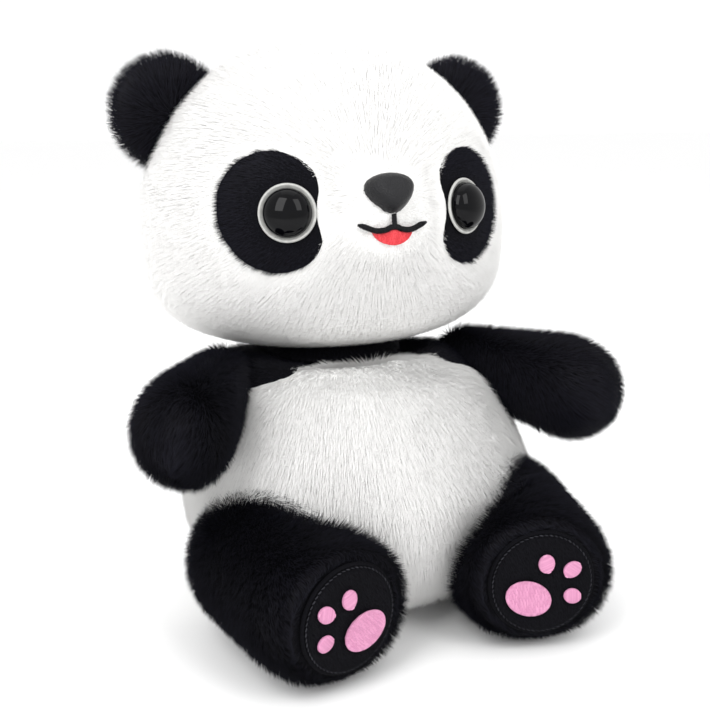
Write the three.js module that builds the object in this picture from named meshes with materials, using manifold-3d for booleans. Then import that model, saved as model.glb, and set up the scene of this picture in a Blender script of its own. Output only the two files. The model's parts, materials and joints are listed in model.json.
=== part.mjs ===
// Sitting plush panda, in millimetres, +Z up. It faces -Y and its own left side is +X.
// Fabric covers are sewn shells round a stuffed core. Head, ears, arms and legs are separate
// stuffed pieces, and each one bends at the seam that joins it to its neighbour.

import * as THREE from 'three';
import { mergeVertices } from 'three/addons/utils/BufferGeometryUtils.js';
import Module from 'manifold-3d';

const wasm = await Module();
wasm.setup();

// Overall sizes
const fabric = 2.4; // backing and pile, pressed flat
const gap = 0.35; // between pieces that touch
const jointGap = 0.8; // between stuffed pieces that move on each other
const sagMargin = 1; // more of the same, for the faces' slope the other way

// Flat faces round each shape, then along it. Inner and clearance shapes are coarser.
const faces = {
  head: [32, 18],
  headCore: [16, 10],
  headRoom: [20, 10],
  torso: [28, 13],
  torsoCore: [16, 8],
  torsoRoom: [20, 10],
  neckCup: [24, 16],
  limb: 18,
  limbCore: 10,
  ear: 18,
  earSide: 8,
  collar: 24,
  button: 24,
  nose: [24, 5],
  hole: 16,
  sole: 28,
  pad: 16,
  outline: 28,
  eyePatch: 36,
  thread: 6,
};

const torso = {
  // From the seat up: height, half width, half depth, how far the centre sits behind the origin
  levels: [
    { height: 0, halfWidth: 46, halfDepth: 38, back: -22 },
    { height: 7, halfWidth: 59, halfDepth: 49, back: -26 },
    { height: 26, halfWidth: 73, halfDepth: 58, back: -31 },
    { height: 52, halfWidth: 81, halfDepth: 61, back: -32 },
    { height: 74, halfWidth: 76, halfDepth: 58, back: -27 },
    { height: 92, halfWidth: 67, halfDepth: 56, back: -20 },
    { height: 104, halfWidth: 57, halfDepth: 53, back: -14 },
    { height: 112, halfWidth: 42, halfDepth: 43, back: -8 },
  ],
  sideSeam: -22,
  yokeHeight: 88,
  bibTop: 110.5,
  bibDrop: 6,
  bibHalfWidth: 52,
};
const neck = { pivotHeight: 88, ballRadius: 36, seatHeight: 105.5, ringHeight: 9, openingRadius: 16 };
const head = {
  halfWidth: 86,
  halfDepth: 69,
  crownHeight: 86,
  jawHeight: 51.5,
  widestHeight: 162,
  back: 10,
  crownRoundness: 2.1,
  jawRoundness: 3,
  sideSeam: 18,
};
const muzzle = {
  halfWidth: 28,
  halfHeight: 20,
  proud: 7,
  height: 169,
  roundness: 1.5,
  seamInset: 5, // how far the panel's side seams lie inside the swelling
};
const ear = { radius: 25, thickness: 18, edgeRoundness: 0.6, angle: 36.5, standOut: 1 };
const arm = {
  shoulderX: 59,
  shoulderY: -20,
  shoulderHeight: 101,
  rootRadius: 16.5,
  pawRadius: 23.5,
  length: 54,
  outward: 31.5,
  droop: 7,
};
const leg = {
  hipX: 50,
  hipY: -60,
  rootRadius: 34,
  footRadius: 30,
  flatten: 1.12,
  length: 44,
  inward: 5,
  soleTurn: 15,
  soleInset: 14,
  clearance: 0.4,
};

// Face
const eye = { halfSpacing: 40, height: 176, domeRadius: 9.9, domeHeight: 6.4, ringRadius: 12 };
const shank = { radius: 2.6, length: 13, play: 0.4, noseRoot: 1, holePast: 5 };
const washer = { radius: 8, thickness: 2, clearance: 2.6, room: 1 };
const ring = { thickness: 1.2, bevel: 0.4 };
const patch = { halfWidth: 21, halfHeight: 24.5, offset: 3.8, notchDepth: 7, notchHalfHeight: 12 };
const faceCut = { start: 15, beyond: 40 }; // in front of the head's middle, and out past the face
const nose = {
  halfWidth: 11,
  height: 17,
  depth: 9,
  level: 183.5,
  sink: 2,
  roundness: 0.55,
  taper: 0.35,
};
const smile = {
  halfWidth: 15.5,
  level: 172.5,
  cusp: -2.1,
  dip: 3.2,
  curl: 0.86, // how much of a half wave each side of the smile is
  overlap: 0.02, // of the two sides at the middle, as a share of the half width
  philtrum: 5,
  thread: 1.5,
};
const tongue = { halfWidth: 9, depth: 6.4, thickness: 1.1 };

// Paw prints: outward and up from the middle of the sole, half length, half width, turn
const sole = { radius: 20.3, thickness: 2.2, bevel: 0.7, seamWidth: 1.6, seamHeight: 1 };
const embroidery = 0.9;
const embroideryEdge = { slope: 0.4, inset: 1 / 3 }; // shares of the height
const pads = [
  { name: 'heel_pad', outward: -6, up: -5.5, halfLength: 9.6, halfWidth: 7, turn: 160 },
  { name: 'inner_toe_pad', outward: 1.2, up: 8.8, halfLength: 3.9, halfWidth: 3.4, turn: 90 },
  { name: 'middle_toe_pad', outward: 12, up: 5.8, halfLength: 3.9, halfWidth: 3.3, turn: 32 },
  { name: 'outer_toe_pad', outward: 12.4, up: -5.6, halfLength: 3.7, halfWidth: 3.2, turn: -20 },
];

// How far each stuffed joint bends, in degrees
const reach = {
  headTurn: [-30, 30],
  headNod: [-8, 7],
  armRaise: [-12, 30],
  legRaise: [0, 24],
  earFlop: [-15, 15],
};

const sides = [
  { name: 'left', sign: 1 },
  { name: 'right', sign: -1 },
];

const materials = {
  whitePlush: { color: 0xf4f1ec, roughness: 0.95, metalness: 0 },
  blackPlush: { color: 0x14141a, roughness: 0.95, metalness: 0 },
  shortPile: { color: 0x101015, roughness: 0.9, metalness: 0 },
  stuffing: { color: 0xe9e7e0, roughness: 1, metalness: 0 },
  eyePlastic: { color: 0x050507, roughness: 0.08, metalness: 0 },
  ringPlastic: { color: 0xb9b8b2, roughness: 0.35, metalness: 0 },
  nosePlastic: { color: 0x0c0c0f, roughness: 0.5, metalness: 0 },
  washerPlastic: { color: 0xe6e6e2, roughness: 0.5, metalness: 0 },
  blackThread: { color: 0x0a0a0c, roughness: 0.7, metalness: 0 },
  redThread: { color: 0xd8443a, roughness: 0.6, metalness: 0 },
  pinkThread: { color: 0xe08fb8, roughness: 0.6, metalness: 0 },
};

// Larger than the whole panda, for cutting everything on one side of a plane
const farAway = 600;

// Solid helpers

// One closed three.js geometry with shared corners, as a solid
function solidFrom(geometry) {
  const bare = geometry.clone();
  bare.deleteAttribute('normal');
  bare.deleteAttribute('uv');
  const welded = mergeVertices(bare, 1e-4);
  const places = welded.attributes.position.array;
  const corners = welded.index.array;
  const kept = [];
  let volume = 0;
  for (let i = 0; i < corners.length; i += 3) {
    const [a, b, c] = corners.slice(i, i + 3);
    if (a === b || b === c || c === a) continue;
    kept.push(a, b, c);
    const [p, q, r] = [a, b, c].map((k) => new THREE.Vector3().fromArray(places, 3 * k));
    volume += p.dot(q.cross(r));
  }
  if (volume < 0) kept.reverse();
  return new wasm.Manifold(new wasm.Mesh({
    numProp: 3,
    vertProperties: Float32Array.from(places),
    triVerts: Uint32Array.from(kept),
  }));
}

function geometryFrom(solid) {
  const mesh = solid.getMesh();
  const geometry = new THREE.BufferGeometry();
  geometry.setAttribute('position', new THREE.BufferAttribute(mesh.vertProperties, 3));
  geometry.setIndex(new THREE.BufferAttribute(mesh.triVerts, 1));
  geometry.computeVertexNormals();
  return geometry;
}

function piece(name, geometryOrSolid, material) {
  const solid = geometryOrSolid.isBufferGeometry ? solidFrom(geometryOrSolid) : geometryOrSolid;
  // A cut can leave a crumb too small to be cloth
  const [whole] = solid.decompose().sort((a, b) => b.volume() - a.volume());
  const finish = new THREE.MeshStandardMaterial(materials[material]);
  const mesh = new THREE.Mesh(geometryFrom(whole), finish);
  mesh.name = name;
  return mesh;
}

// A solid of revolution about +Z, from [radius, height] points
function revolved(points, around) {
  const profile = points.map(([radius, height]) => new THREE.Vector2(radius, height));
  return new THREE.LatheGeometry(profile, around).rotateX(Math.PI / 2);
}

function arc(radius, from, to, steps, height = 0) {
  return Array.from({ length: steps + 1 }, (_, i) => {
    const angle = THREE.MathUtils.degToRad(from + ((to - from) * i) / steps);
    return [radius * Math.cos(angle), height + radius * Math.sin(angle)];
  });
}

// Everything on one side of a plane: the side that the normal points to
function halfSpace(normal, point) {
  const size = farAway;
  const block = new THREE.BoxGeometry(size, size, size).translate(0, 0, size / 2);
  const turn = new THREE.Quaternion().setFromUnitVectors(new THREE.Vector3(0, 0, 1), normal);
  return solidFrom(block.applyQuaternion(turn).translate(point.x, point.y, point.z));
}

function turnedAbout(solid, pivot, axis, degrees) {
  const turn = new THREE.Matrix4().makeTranslation(pivot)
    .multiply(new THREE.Matrix4().makeRotationAxis(axis, THREE.MathUtils.degToRad(degrees)))
    .multiply(new THREE.Matrix4().makeTranslation(pivot.clone().negate()));
  return solid.transform(turn.elements);
}

// Evenly spaced angles from one limit to the other, for clearing a moving piece's path
function sweepAngles([low, high], step = 6) {
  const count = Math.ceil((high - low) / step);
  return Array.from({ length: count + 1 }, (_, i) => low + ((high - low) * i) / count);
}

// How far the flat faces of a round shape cut inside its curve
function sagOf(radius, around) {
  return radius * (1 - Math.cos(Math.PI / around)) + sagMargin;
}

function unit(x, y, z) {
  return new THREE.Vector3(x, y, z).normalize();
}

const sideways = unit(1, 0, 0);
const forward = unit(0, -1, 0);
const upward = unit(0, 0, 1);

// Shapes

function headGeometry(inset, around, rings) {
  const geometry = new THREE.SphereGeometry(1, around, rings).rotateX(Math.PI / 2);
  const place = geometry.attributes.position;
  for (let i = 0; i < place.count; i += 1) {
    const [x, y, z] = [place.getX(i), place.getY(i), place.getZ(i)];
    const across = Math.hypot(x, y);
    const power = 2 / (z >= 0 ? head.crownRoundness : head.jawRoundness);
    const tall = (z >= 0 ? head.crownHeight : head.jawHeight) - inset;
    const spread = across > 1e-6 ? across ** power / across : 0;
    const outX = (head.halfWidth - inset) * spread * x;
    const outZ = head.widestHeight + Math.sign(z) * tall * Math.abs(z) ** power;
    const outY = head.back + (head.halfDepth - inset) * spread * y;
    place.setXYZ(i, outX, outY - (y < 0 ? muzzleBulge(outX, outZ) : 0), outZ);
  }
  return geometry;
}

function muzzleBulge(x, z) {
  const acrossX = x / muzzle.halfWidth;
  const acrossZ = (z - muzzle.height) / muzzle.halfHeight;
  return muzzle.proud * Math.exp(-((acrossX ** 2 + acrossZ ** 2) ** muzzle.roundness));
}

// Where the front of the head is, at a distance from the middle and a height
function facePoint(x, z, proud = 0) {
  const rise = z - head.widestHeight;
  const power = rise >= 0 ? head.crownRoundness : head.jawRoundness;
  const tall = rise >= 0 ? head.crownHeight : head.jawHeight;
  const across = (1 - Math.abs(rise / tall) ** power) ** (1 / power);
  const deep = head.halfDepth * Math.sqrt(across ** 2 - (x / head.halfWidth) ** 2);
  return new THREE.Vector3(x, head.back - deep - muzzleBulge(x, z) - proud, z);
}

function faceNormal(x, z) {
  const step = 0.5;
  const acrossX = facePoint(x + step, z).sub(facePoint(x - step, z));
  const acrossZ = facePoint(x, z + step).sub(facePoint(x, z - step));
  return acrossX.cross(acrossZ).normalize();
}

// A frame whose +Z points out of the face, for what is fixed to it
function faceFrame(x, z, proud) {
  const outward = faceNormal(x, z);
  const turn = new THREE.Quaternion().setFromUnitVectors(new THREE.Vector3(0, 0, 1), outward);
  const origin = facePoint(x, z).addScaledVector(outward, proud);
  return new THREE.Matrix4().compose(origin, turn, new THREE.Vector3(1, 1, 1));
}

function torsoGeometry(inset, around, rings) {
  const widths = new THREE.SplineCurve(
    torso.levels.map((at) => new THREE.Vector2(at.halfWidth, at.height)),
  );
  const depths = new THREE.SplineCurve(
    torso.levels.map((at) => new THREE.Vector2(at.halfDepth, at.back)),
  );
  const top = torso.levels.at(-1).height;
  const places = [];
  const corners = [];
  for (let i = 0; i <= rings; i += 1) {
    const wide = widths.getPoint(i / rings);
    const deep = depths.getPoint(i / rings);
    const height = THREE.MathUtils.clamp(wide.y, 0, top);
    const level = THREE.MathUtils.mapLinear(height, 0, top, inset, top - inset);
    for (let j = 0; j < around; j += 1) {
      const angle = (2 * Math.PI * j) / around;
      const x = (wide.x - inset) * Math.cos(angle);
      const y = deep.y + (deep.x - inset) * Math.sin(angle);
      places.push(x, y, level);
      if (i === rings) continue;
      const next = (j + 1) % around;
      const [a, b] = [i * around + j, i * around + next];
      corners.push(a, b, b + around, a, b + around, a + around);
    }
  }
  for (const ringStart of [0, rings * around]) {
    const centre = places.length / 3;
    const [x, y, z] = [0, torso.levels[ringStart ? torso.levels.length - 1 : 0].back,
      places[3 * ringStart + 2]];
    places.push(x, y, z);
    for (let j = 0; j < around; j += 1) {
      const [a, b] = [ringStart + j, ringStart + ((j + 1) % around)];
      corners.push(...(ringStart ? [a, b, centre] : [b, a, centre]));
    }
  }
  const geometry = new THREE.BufferGeometry();
  geometry.setAttribute('position', new THREE.Float32BufferAttribute(places, 3));
  geometry.setIndex(corners);
  return geometry;
}

// A stuffed limb along +Z: two balls and the cone that touches both
function limbGeometry({ rootRadius, tipRadius, length, flatten = 1, inset, around }) {
  const lean = THREE.MathUtils.radToDeg(Math.asin((rootRadius - tipRadius) / length));
  const root = arc(rootRadius - inset, -90, lean, 5);
  const tip = arc(tipRadius - inset, lean, 90, 7, length);
  root[0][0] = 0;
  tip.at(-1)[0] = 0;
  return revolved([...root, ...tip], around).scale(flatten, 1, 1);
}

// A frame at a place, whose +Z points along a limb and whose +X is level
function limbFrame(place, along) {
  const side = new THREE.Vector3().crossVectors(upward, along).normalize();
  const up = new THREE.Vector3().crossVectors(along, side);
  return new THREE.Matrix4().makeBasis(side, up, along).setPosition(place);
}

// A flat outline in the face's own width and height, pushed right through the front of the head
function faceCutter(shape) {
  const deep = head.halfDepth + faceCut.beyond;
  const prism = new THREE.ExtrudeGeometry(shape, { depth: deep, bevelEnabled: false });
  return solidFrom(prism.rotateX(Math.PI / 2).translate(0, head.back - faceCut.start, 0));
}

function ellipseShape(x, y, halfWidth, halfHeight, count = faces.outline) {
  const shape = new THREE.Shape();
  const curve = new THREE.EllipseCurve(x, y, halfWidth, halfHeight);
  shape.setFromPoints(curve.getPoints(count).slice(0, -1));
  return shape;
}

// The eye patch: an upright oval whose inner edge is notched where the cheek overlaps it
function patchShape(sign, grow) {
  const points = [];
  const count = faces.eyePatch;
  for (let i = 0; i < count; i += 1) {
    const angle = (2 * Math.PI * i) / count;
    const up = Math.sin(angle);
    const inner = Math.max(0, -Math.cos(angle));
    const notch = patch.notchDepth * Math.exp(-((up * patch.halfHeight / patch.notchHalfHeight) ** 2));
    const across = (patch.halfWidth + grow) * Math.cos(angle) + notch * inner;
    const x = eye.halfSpacing + patch.offset + across;
    points.push(new THREE.Vector2(sign * x, eye.height + (patch.halfHeight + grow) * up));
  }
  return new THREE.Shape(points);
}

// Head

const neckPivot = new THREE.Vector3(0, 0, neck.pivotHeight);
const neckBall = neck.ballRadius;
const headOuter = solidFrom(headGeometry(0, ...faces.head));
const headInner = solidFrom(headGeometry(fabric, ...faces.headCore));
const headCore = solidFrom(headGeometry(fabric + 2 * gap, ...faces.headCore));
const neckCup = solidFrom(
  new THREE.SphereGeometry(neckBall + jointGap, ...faces.neckCup).translate(...neckPivot),
);
const headEnvelope = headOuter.subtract(neckCup);

const headPoses = [
  { turn: 0, nod: 0 },
  ...reach.headTurn.map((turn) => ({ turn, nod: 0 })),
  ...reach.headNod.map((nod) => ({ turn: 0, nod })),
  { turn: reach.headTurn[0], nod: reach.headNod[0] },
  { turn: reach.headTurn[1], nod: reach.headNod[1] },
];

function posedHead(grown, { turn, nod }) {
  const nodded = turnedAbout(grown, neckPivot, sideways, nod);
  return turnedAbout(nodded, neckPivot, upward, turn);
}

// The room that the head and its clearance take up over all of its movement
const headClearance = jointGap + sagOf(head.halfWidth, faces.headRoom[0]);
const headWithRoom = solidFrom(headGeometry(-headClearance, ...faces.headRoom));
const headRoom = headPoses
  .map((pose) => posedHead(headWithRoom, pose))
  .reduce((all, one) => all.add(one));

const frontOfHead = halfSpace(forward, new THREE.Vector3(0, head.sideSeam - gap / 2, 0));
const backOfHead = halfSpace(
  forward.clone().negate(),
  new THREE.Vector3(0, head.sideSeam + gap / 2, 0),
);
const muzzleOutline = (grow) => faceCutter(
  ellipseShape(
    0,
    muzzle.height,
    muzzle.halfWidth - muzzle.seamInset + grow,
    muzzle.halfHeight + grow,
  ),
);
const shankHoles = [
  ...sides.map(({ sign }) => faceFrame(sign * eye.halfSpacing, eye.height, 0)),
  faceFrame(0, nose.level, 0),
].map((frame) => {
  const long = 2 * (shank.length + shank.holePast);
  const hole = new THREE.CylinderGeometry(
    shank.radius + shank.play,
    shank.radius + shank.play,
    long,
    faces.hole,
  ).rotateX(Math.PI / 2).applyMatrix4(frame);
  return solidFrom(hole);
}).reduce((all, one) => all.add(one));
const washerPockets = [
  ...sides.map(({ sign }) => faceFrame(sign * eye.halfSpacing, eye.height, 0)),
  faceFrame(0, nose.level, 0),
].map((frame) => {
  const high = -fabric - gap;
  const low = -shank.length - washer.clearance;
  const wide = washer.radius + washer.room;
  const pocket = new THREE.CylinderGeometry(wide, wide, high - low, faces.hole)
    .rotateX(Math.PI / 2)
    .translate(0, 0, (high + low) / 2)
    .applyMatrix4(frame);
  return solidFrom(pocket);
}).reduce((all, one) => all.add(one));

const headShell = headEnvelope.subtract(headInner).subtract(shankHoles).subtract(washerPockets);
const muzzlePanel = headShell.intersect(frontOfHead).intersect(muzzleOutline(0));
const patches = sides.map(({ name, sign }) => ({
  name,
  solid: headShell.intersect(frontOfHead)
    .intersect(faceCutter(patchShape(sign, 0)))
    .subtract(muzzleOutline(gap)),
  cutter: faceCutter(patchShape(sign, gap)).intersect(frontOfHead),
}));
let headFront = headShell.intersect(frontOfHead)
  .subtract(muzzleOutline(gap).intersect(frontOfHead));
for (const { cutter } of patches) headFront = headFront.subtract(cutter);
const headBack = headShell.intersect(backOfHead);
const headStuffing = headCore.subtract(neckCup).subtract(washerPockets).subtract(shankHoles);

const headGroup = new THREE.Group();
headGroup.add(
  piece('head_front_panel', headFront, 'whitePlush'),
  piece('head_back_panel', headBack, 'whitePlush'),
  piece('muzzle_panel', muzzlePanel, 'whitePlush'),
  piece('head_stuffing', headStuffing, 'stuffing'),
);
for (const { name, solid } of patches) {
  headGroup.add(piece(`${name}_eye_patch`, solid, 'blackPlush'));
}

// Eyes: a domed button with a shank through the fabric, a flat ring under it, a washer behind

function eyeDomeGeometry() {
  const steps = 5;
  const dome = Array.from({ length: steps + 1 }, (_, i) => {
    const angle = (Math.PI / 2) * (i / steps);
    return [eye.domeRadius * Math.cos(angle), eye.domeHeight * Math.sin(angle)];
  });
  dome.at(-1)[0] = 0;
  return revolved([
    [0, -shank.length],
    [shank.radius, -shank.length],
    [shank.radius, 0],
    ...dome,
  ], faces.button);
}

function eyeRingGeometry() {
  const inner = shank.radius + shank.play;
  const { thickness, bevel } = ring;
  return revolved([
    [inner, 0],
    [eye.ringRadius - bevel, 0],
    [eye.ringRadius, thickness / 2],
    [eye.ringRadius - bevel, thickness],
    [inner, thickness],
    [inner, 0],
  ], faces.button);
}

function washerGeometry() {
  const inner = shank.radius + shank.play;
  const { radius, thickness } = washer;
  return revolved([
    [inner, 0],
    [radius, 0],
    [radius, thickness],
    [inner, thickness],
    [inner, 0],
  ], faces.hole);
}

// A group whose +Z points out of the face, for hard pieces fixed through the fabric
function faceGroup(x, z, ...meshes) {
  const group = new THREE.Group();
  faceFrame(x, z, gap).decompose(group.position, group.quaternion, group.scale);
  group.add(...meshes);
  return group;
}

const washerSeat = -(fabric + washer.clearance + washer.thickness);
for (const { name, sign } of sides) {
  const dome = piece(`${name}_eye_dome`, eyeDomeGeometry(), 'eyePlastic');
  const rim = piece(`${name}_eye_ring`, eyeRingGeometry(), 'ringPlastic');
  const back = piece(`${name}_eye_washer`, washerGeometry(), 'washerPlastic');
  dome.position.z = ring.thickness + gap;
  back.position.z = washerSeat;
  headGroup.add(faceGroup(sign * eye.halfSpacing, eye.height, dome, rim, back));
}

// Nose: a rounded triangle, wide at the top, with a shank like the eyes

function noseGeometry() {
  const [around, layers] = faces.nose;
  const places = [];
  const corners = [];
  for (let i = 0; i < layers; i += 1) {
    const climb = (Math.PI / 2) * (i / layers);
    const shrink = Math.cos(climb) ** nose.roundness;
    for (let j = 0; j < around; j += 1) {
      const angle = (2 * Math.PI * j) / around;
      const taper = (1 + nose.taper * Math.sin(angle)) / (1 + nose.taper ** 2 / 2);
      places.push(
        nose.halfWidth * Math.cos(angle) * taper * shrink,
        (nose.height / 2) * Math.sin(angle) * shrink,
        nose.depth * Math.sin(climb),
      );
    }
  }
  const back = places.length / 3;
  places.push(0, 0, 0, 0, 0, nose.depth);
  for (let j = 0; j < around; j += 1) {
    const next = (j + 1) % around;
    corners.push(back, next, j);
    for (let i = 0; i < layers; i += 1) {
      const [a, b] = [i * around + j, i * around + next];
      if (i === layers - 1) corners.push(a, b, back + 1);
      else corners.push(a, b, b + around, a, b + around, a + around);
    }
  }
  const geometry = new THREE.BufferGeometry();
  geometry.setAttribute('position', new THREE.Float32BufferAttribute(places, 3));
  geometry.setIndex(corners);
  return geometry;
}

const noseFrame = faceFrame(0, nose.level, gap);
const noseShank = new THREE.CylinderGeometry(shank.radius, shank.radius, shank.length, faces.hole)
  .rotateX(Math.PI / 2)
  .translate(0, 0, shank.noseRoot - shank.length / 2);
const headClear = solidFrom(headGeometry(-gap, ...faces.head));
const noseShell = solidFrom(noseGeometry().translate(0, 0, -nose.sink).applyMatrix4(noseFrame))
  .subtract(headClear);
const noseBody = noseShell.add(solidFrom(noseShank.applyMatrix4(noseFrame)));
const noseWasher = piece('nose_washer', washerGeometry(), 'washerPlastic');
noseWasher.position.z = washerSeat - muzzle.proud / 3;
headGroup.add(piece('nose', noseBody, 'nosePlastic'), faceGroup(0, nose.level, noseWasher));

// Mouth: two curved rows of black satin stitch and the line up to the nose, and a red tongue

function strandAlong(points, radius) {
  const path = new THREE.CatmullRomCurve3(points);
  const section = ellipseShape(0, 0, radius, radius, faces.thread);
  return solidFrom(new THREE.ExtrudeGeometry(section, {
    steps: 2 * (points.length - 1),
    bevelEnabled: false,
    extrudePath: path,
  }));
}

function smilePoint(across, proud) {
  const side = Math.abs(across);
  const lift = smile.cusp * (1 - side) ** 2 - smile.dip * Math.sin(Math.PI * side * smile.curl);
  return facePoint(across * smile.halfWidth, smile.level + lift * (1 - side ** 4), proud);
}

function smileStrand(radius, proud) {
  const steps = [0, 0.2, 0.4, 0.6, 0.8, 1];
  const halves = sides.map(({ sign }) => strandAlong(
    steps.map((t) => smilePoint(sign * (t - smile.overlap), proud)),
    radius,
  ));
  const top = smilePoint(0, proud).z + smile.philtrum;
  const low = smilePoint(0, proud).z;
  const middle = strandAlong(
    [0, 0.5, 1].map((t) => facePoint(0, THREE.MathUtils.lerp(low, top, t), proud)),
    radius,
  );
  return halves[0].add(halves[1]).add(middle);
}

const threadRadius = smile.thread / 2;
const mouth = smileStrand(threadRadius, threadRadius + gap).subtract(headClear)
  .subtract(noseShell);
headGroup.add(piece('mouth_stitching', mouth, 'blackThread'));

const tongueOutline = [
  ...Array.from({ length: 9 }, (_, i) => {
    const across = (tongue.halfWidth / smile.halfWidth) * (i / 4 - 1);
    const edge = smilePoint(across, 0);
    return new THREE.Vector2(edge.x, edge.z);
  }),
  ...Array.from({ length: 11 }, (_, i) => {
    const angle = -Math.PI * ((i + 1) / 12);
    return new THREE.Vector2(
      tongue.halfWidth * Math.cos(angle),
      smilePoint(tongue.halfWidth / smile.halfWidth, 0).z + tongue.depth * Math.sin(angle),
    );
  }),
];
const tongueSolid = solidFrom(headGeometry(-gap - tongue.thickness, ...faces.head))
  .intersect(faceCutter(new THREE.Shape(tongueOutline)).intersect(frontOfHead))
  .subtract(headClear)
  .subtract(smileStrand(threadRadius + gap, threadRadius + gap));
headGroup.add(piece('tongue_embroidery', tongueSolid, 'redThread'));

// Ears: two round panels over a thin filling, sewn into the side seam of the head

function earGeometry(inset) {
  const radius = ear.radius - inset;
  const half = ear.thickness / 2 - inset;
  const side = Array.from({ length: faces.earSide + 1 }, (_, i) => {
    const angle = THREE.MathUtils.degToRad(-90 + (180 * i) / faces.earSide);
    return [radius * Math.cos(angle) ** ear.edgeRoundness, half * Math.sin(angle)];
  });
  side[0][0] = 0;
  side.at(-1)[0] = 0;
  return revolved(side, faces.ear).rotateX(Math.PI / 2);
}

function earRoot(sign) {
  const angle = THREE.MathUtils.degToRad(ear.angle);
  const power = 2 / head.crownRoundness;
  const outward = unit(
    sign * Math.cos(angle) ** (2 - power) / head.halfWidth,
    0,
    Math.sin(angle) ** (2 - power) / head.crownHeight,
  );
  const point = new THREE.Vector3(
    sign * head.halfWidth * Math.cos(angle) ** power,
    head.sideSeam,
    head.widestHeight + head.crownHeight * Math.sin(angle) ** power,
  );
  return { point, outward, axis: new THREE.Vector3().crossVectors(outward, forward) };
}

const joints = [
  hinge('neck_turn', 'torso', 'neck', neckPivot, upward, reach.headTurn),
  hinge('neck_nod', 'neck', 'head', neckPivot, sideways, reach.headNod),
];

function hinge(name, parent, child, pivot, axis, range) {
  return { name, parent, child, pos: pivot.toArray(), axis: axis.toArray(), range };
}

const earGroups = sides.map(({ name, sign }) => {
  const { point, outward, axis } = earRoot(sign);
  joints.push(hinge(`${name}_ear_flop`, 'head', `${name}_ear`, point, axis, reach.earFlop));
  const centre = point.clone().addScaledVector(outward, ear.standOut);
  const room = sweepAngles(reach.earFlop)
    .map((angle) => turnedAbout(headWithRoom, point, axis, -angle))
    .reduce((all, one) => all.add(one));
  const placed = (inset) => solidFrom(earGeometry(inset).translate(...centre)).subtract(room);
  const shell = placed(0).subtract(solidFrom(earGeometry(fabric).translate(...centre)));
  const front = halfSpace(forward, centre.clone().addScaledVector(forward, gap / 2));
  const back = halfSpace(
    forward.clone().negate(),
    centre.clone().addScaledVector(forward, -gap / 2),
  );
  const group = new THREE.Group();
  group.add(
    piece(`${name}_ear_front_panel`, shell.intersect(front), 'blackPlush'),
    piece(`${name}_ear_back_panel`, shell.intersect(back), 'blackPlush'),
    piece(`${name}_ear_stuffing`, placed(fabric + gap), 'stuffing'),
  );
  return group;
});

// Neck: a round fabric collar on the body, with the head's hollow resting on it

function collarGeometry() {
  const low = neck.seatHeight + gap - neck.pivotHeight;
  const high = low + neck.ringHeight;
  const angleAt = (height) => THREE.MathUtils.radToDeg(Math.asin(height / neckBall));
  return revolved([
    [neck.openingRadius, neck.pivotHeight + low],
    ...arc(neckBall, angleAt(low), angleAt(high), 3, neck.pivotHeight),
    [neck.openingRadius, neck.pivotHeight + high],
    [neck.openingRadius, neck.pivotHeight + low],
  ], faces.collar);
}

const neckGroup = new THREE.Group();
neckGroup.add(piece('neck_collar', collarGeometry(), 'blackPlush'), headGroup, ...earGroups);

// Torso: a white front and back below a black yoke that runs right round the shoulders

// The body's solid, hollowed on top where the head and the collar rest
const collarSeat = solidFrom(revolved([
  [0, neck.seatHeight],
  [neck.ballRadius, neck.seatHeight],
  [neck.ballRadius, head.widestHeight],
  [0, head.widestHeight],
], faces.collar));

function torsoSolid(inset, around, rings) {
  return solidFrom(torsoGeometry(inset, around, rings)).subtract(headRoom).subtract(collarSeat);
}

const widestTorso = Math.max(...torso.levels.map((at) => at.halfWidth));
const torsoOuter = torsoSolid(0, ...faces.torso);
const torsoInner = solidFrom(torsoGeometry(fabric, ...faces.torsoCore));
const torsoCore = torsoSolid(fabric + 2 * gap, ...faces.torsoCore);
const torsoClearance = jointGap + sagOf(widestTorso, faces.torsoRoom[0]);
const torsoWithRoom = solidFrom(torsoGeometry(-torsoClearance, ...faces.torsoRoom));
const torsoShell = torsoOuter.subtract(torsoInner);
const belowYoke = halfSpace(
  upward.clone().negate(),
  new THREE.Vector3(0, 0, torso.yokeHeight - gap / 2),
);
const frontHalf = halfSpace(forward, new THREE.Vector3(0, torso.sideSeam - gap / 2, 0));
const backHalf = halfSpace(
  forward.clone().negate(),
  new THREE.Vector3(0, torso.sideSeam + gap / 2, 0),
);

// The white bib rises in an arch at the front, between the shoulders
function bibSolid(grow) {
  const far = torso.bibHalfWidth * 2;
  const edge = Array.from({ length: 17 }, (_, i) => {
    const x = far * (i / 8 - 1);
    const z = torso.bibTop + grow - torso.bibDrop * (x / torso.bibHalfWidth) ** 2;
    return new THREE.Vector2(x, z);
  });
  const shape = new THREE.Shape([
    new THREE.Vector2(far, -far),
    ...edge.reverse(),
    new THREE.Vector2(-far, -far),
  ]);
  const prism = new THREE.ExtrudeGeometry(shape, { depth: far * 2, bevelEnabled: false });
  return solidFrom(prism.rotateX(Math.PI / 2).translate(0, torso.sideSeam - gap / 2 + grow, 0));
}

const bellyPanel = torsoShell.intersect(bibSolid(0));
const backPanel = torsoShell.intersect(belowYoke).intersect(backHalf);
const backRoom = halfSpace(
  upward.clone().negate(),
  new THREE.Vector3(0, 0, torso.yokeHeight + gap / 2),
).subtract(frontHalf);
const yoke = torsoShell.subtract(bibSolid(gap)).subtract(backRoom);
const torsoGroup = new THREE.Group();
torsoGroup.add(
  piece('belly_panel', bellyPanel, 'whitePlush'),
  piece('back_panel', backPanel, 'whitePlush'),
  piece('shoulder_yoke', yoke, 'blackPlush'),
  piece('torso_stuffing', torsoCore, 'stuffing'),
);

// Arms and legs: a cover sewn to the torso at its open end, and its stuffing

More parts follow.
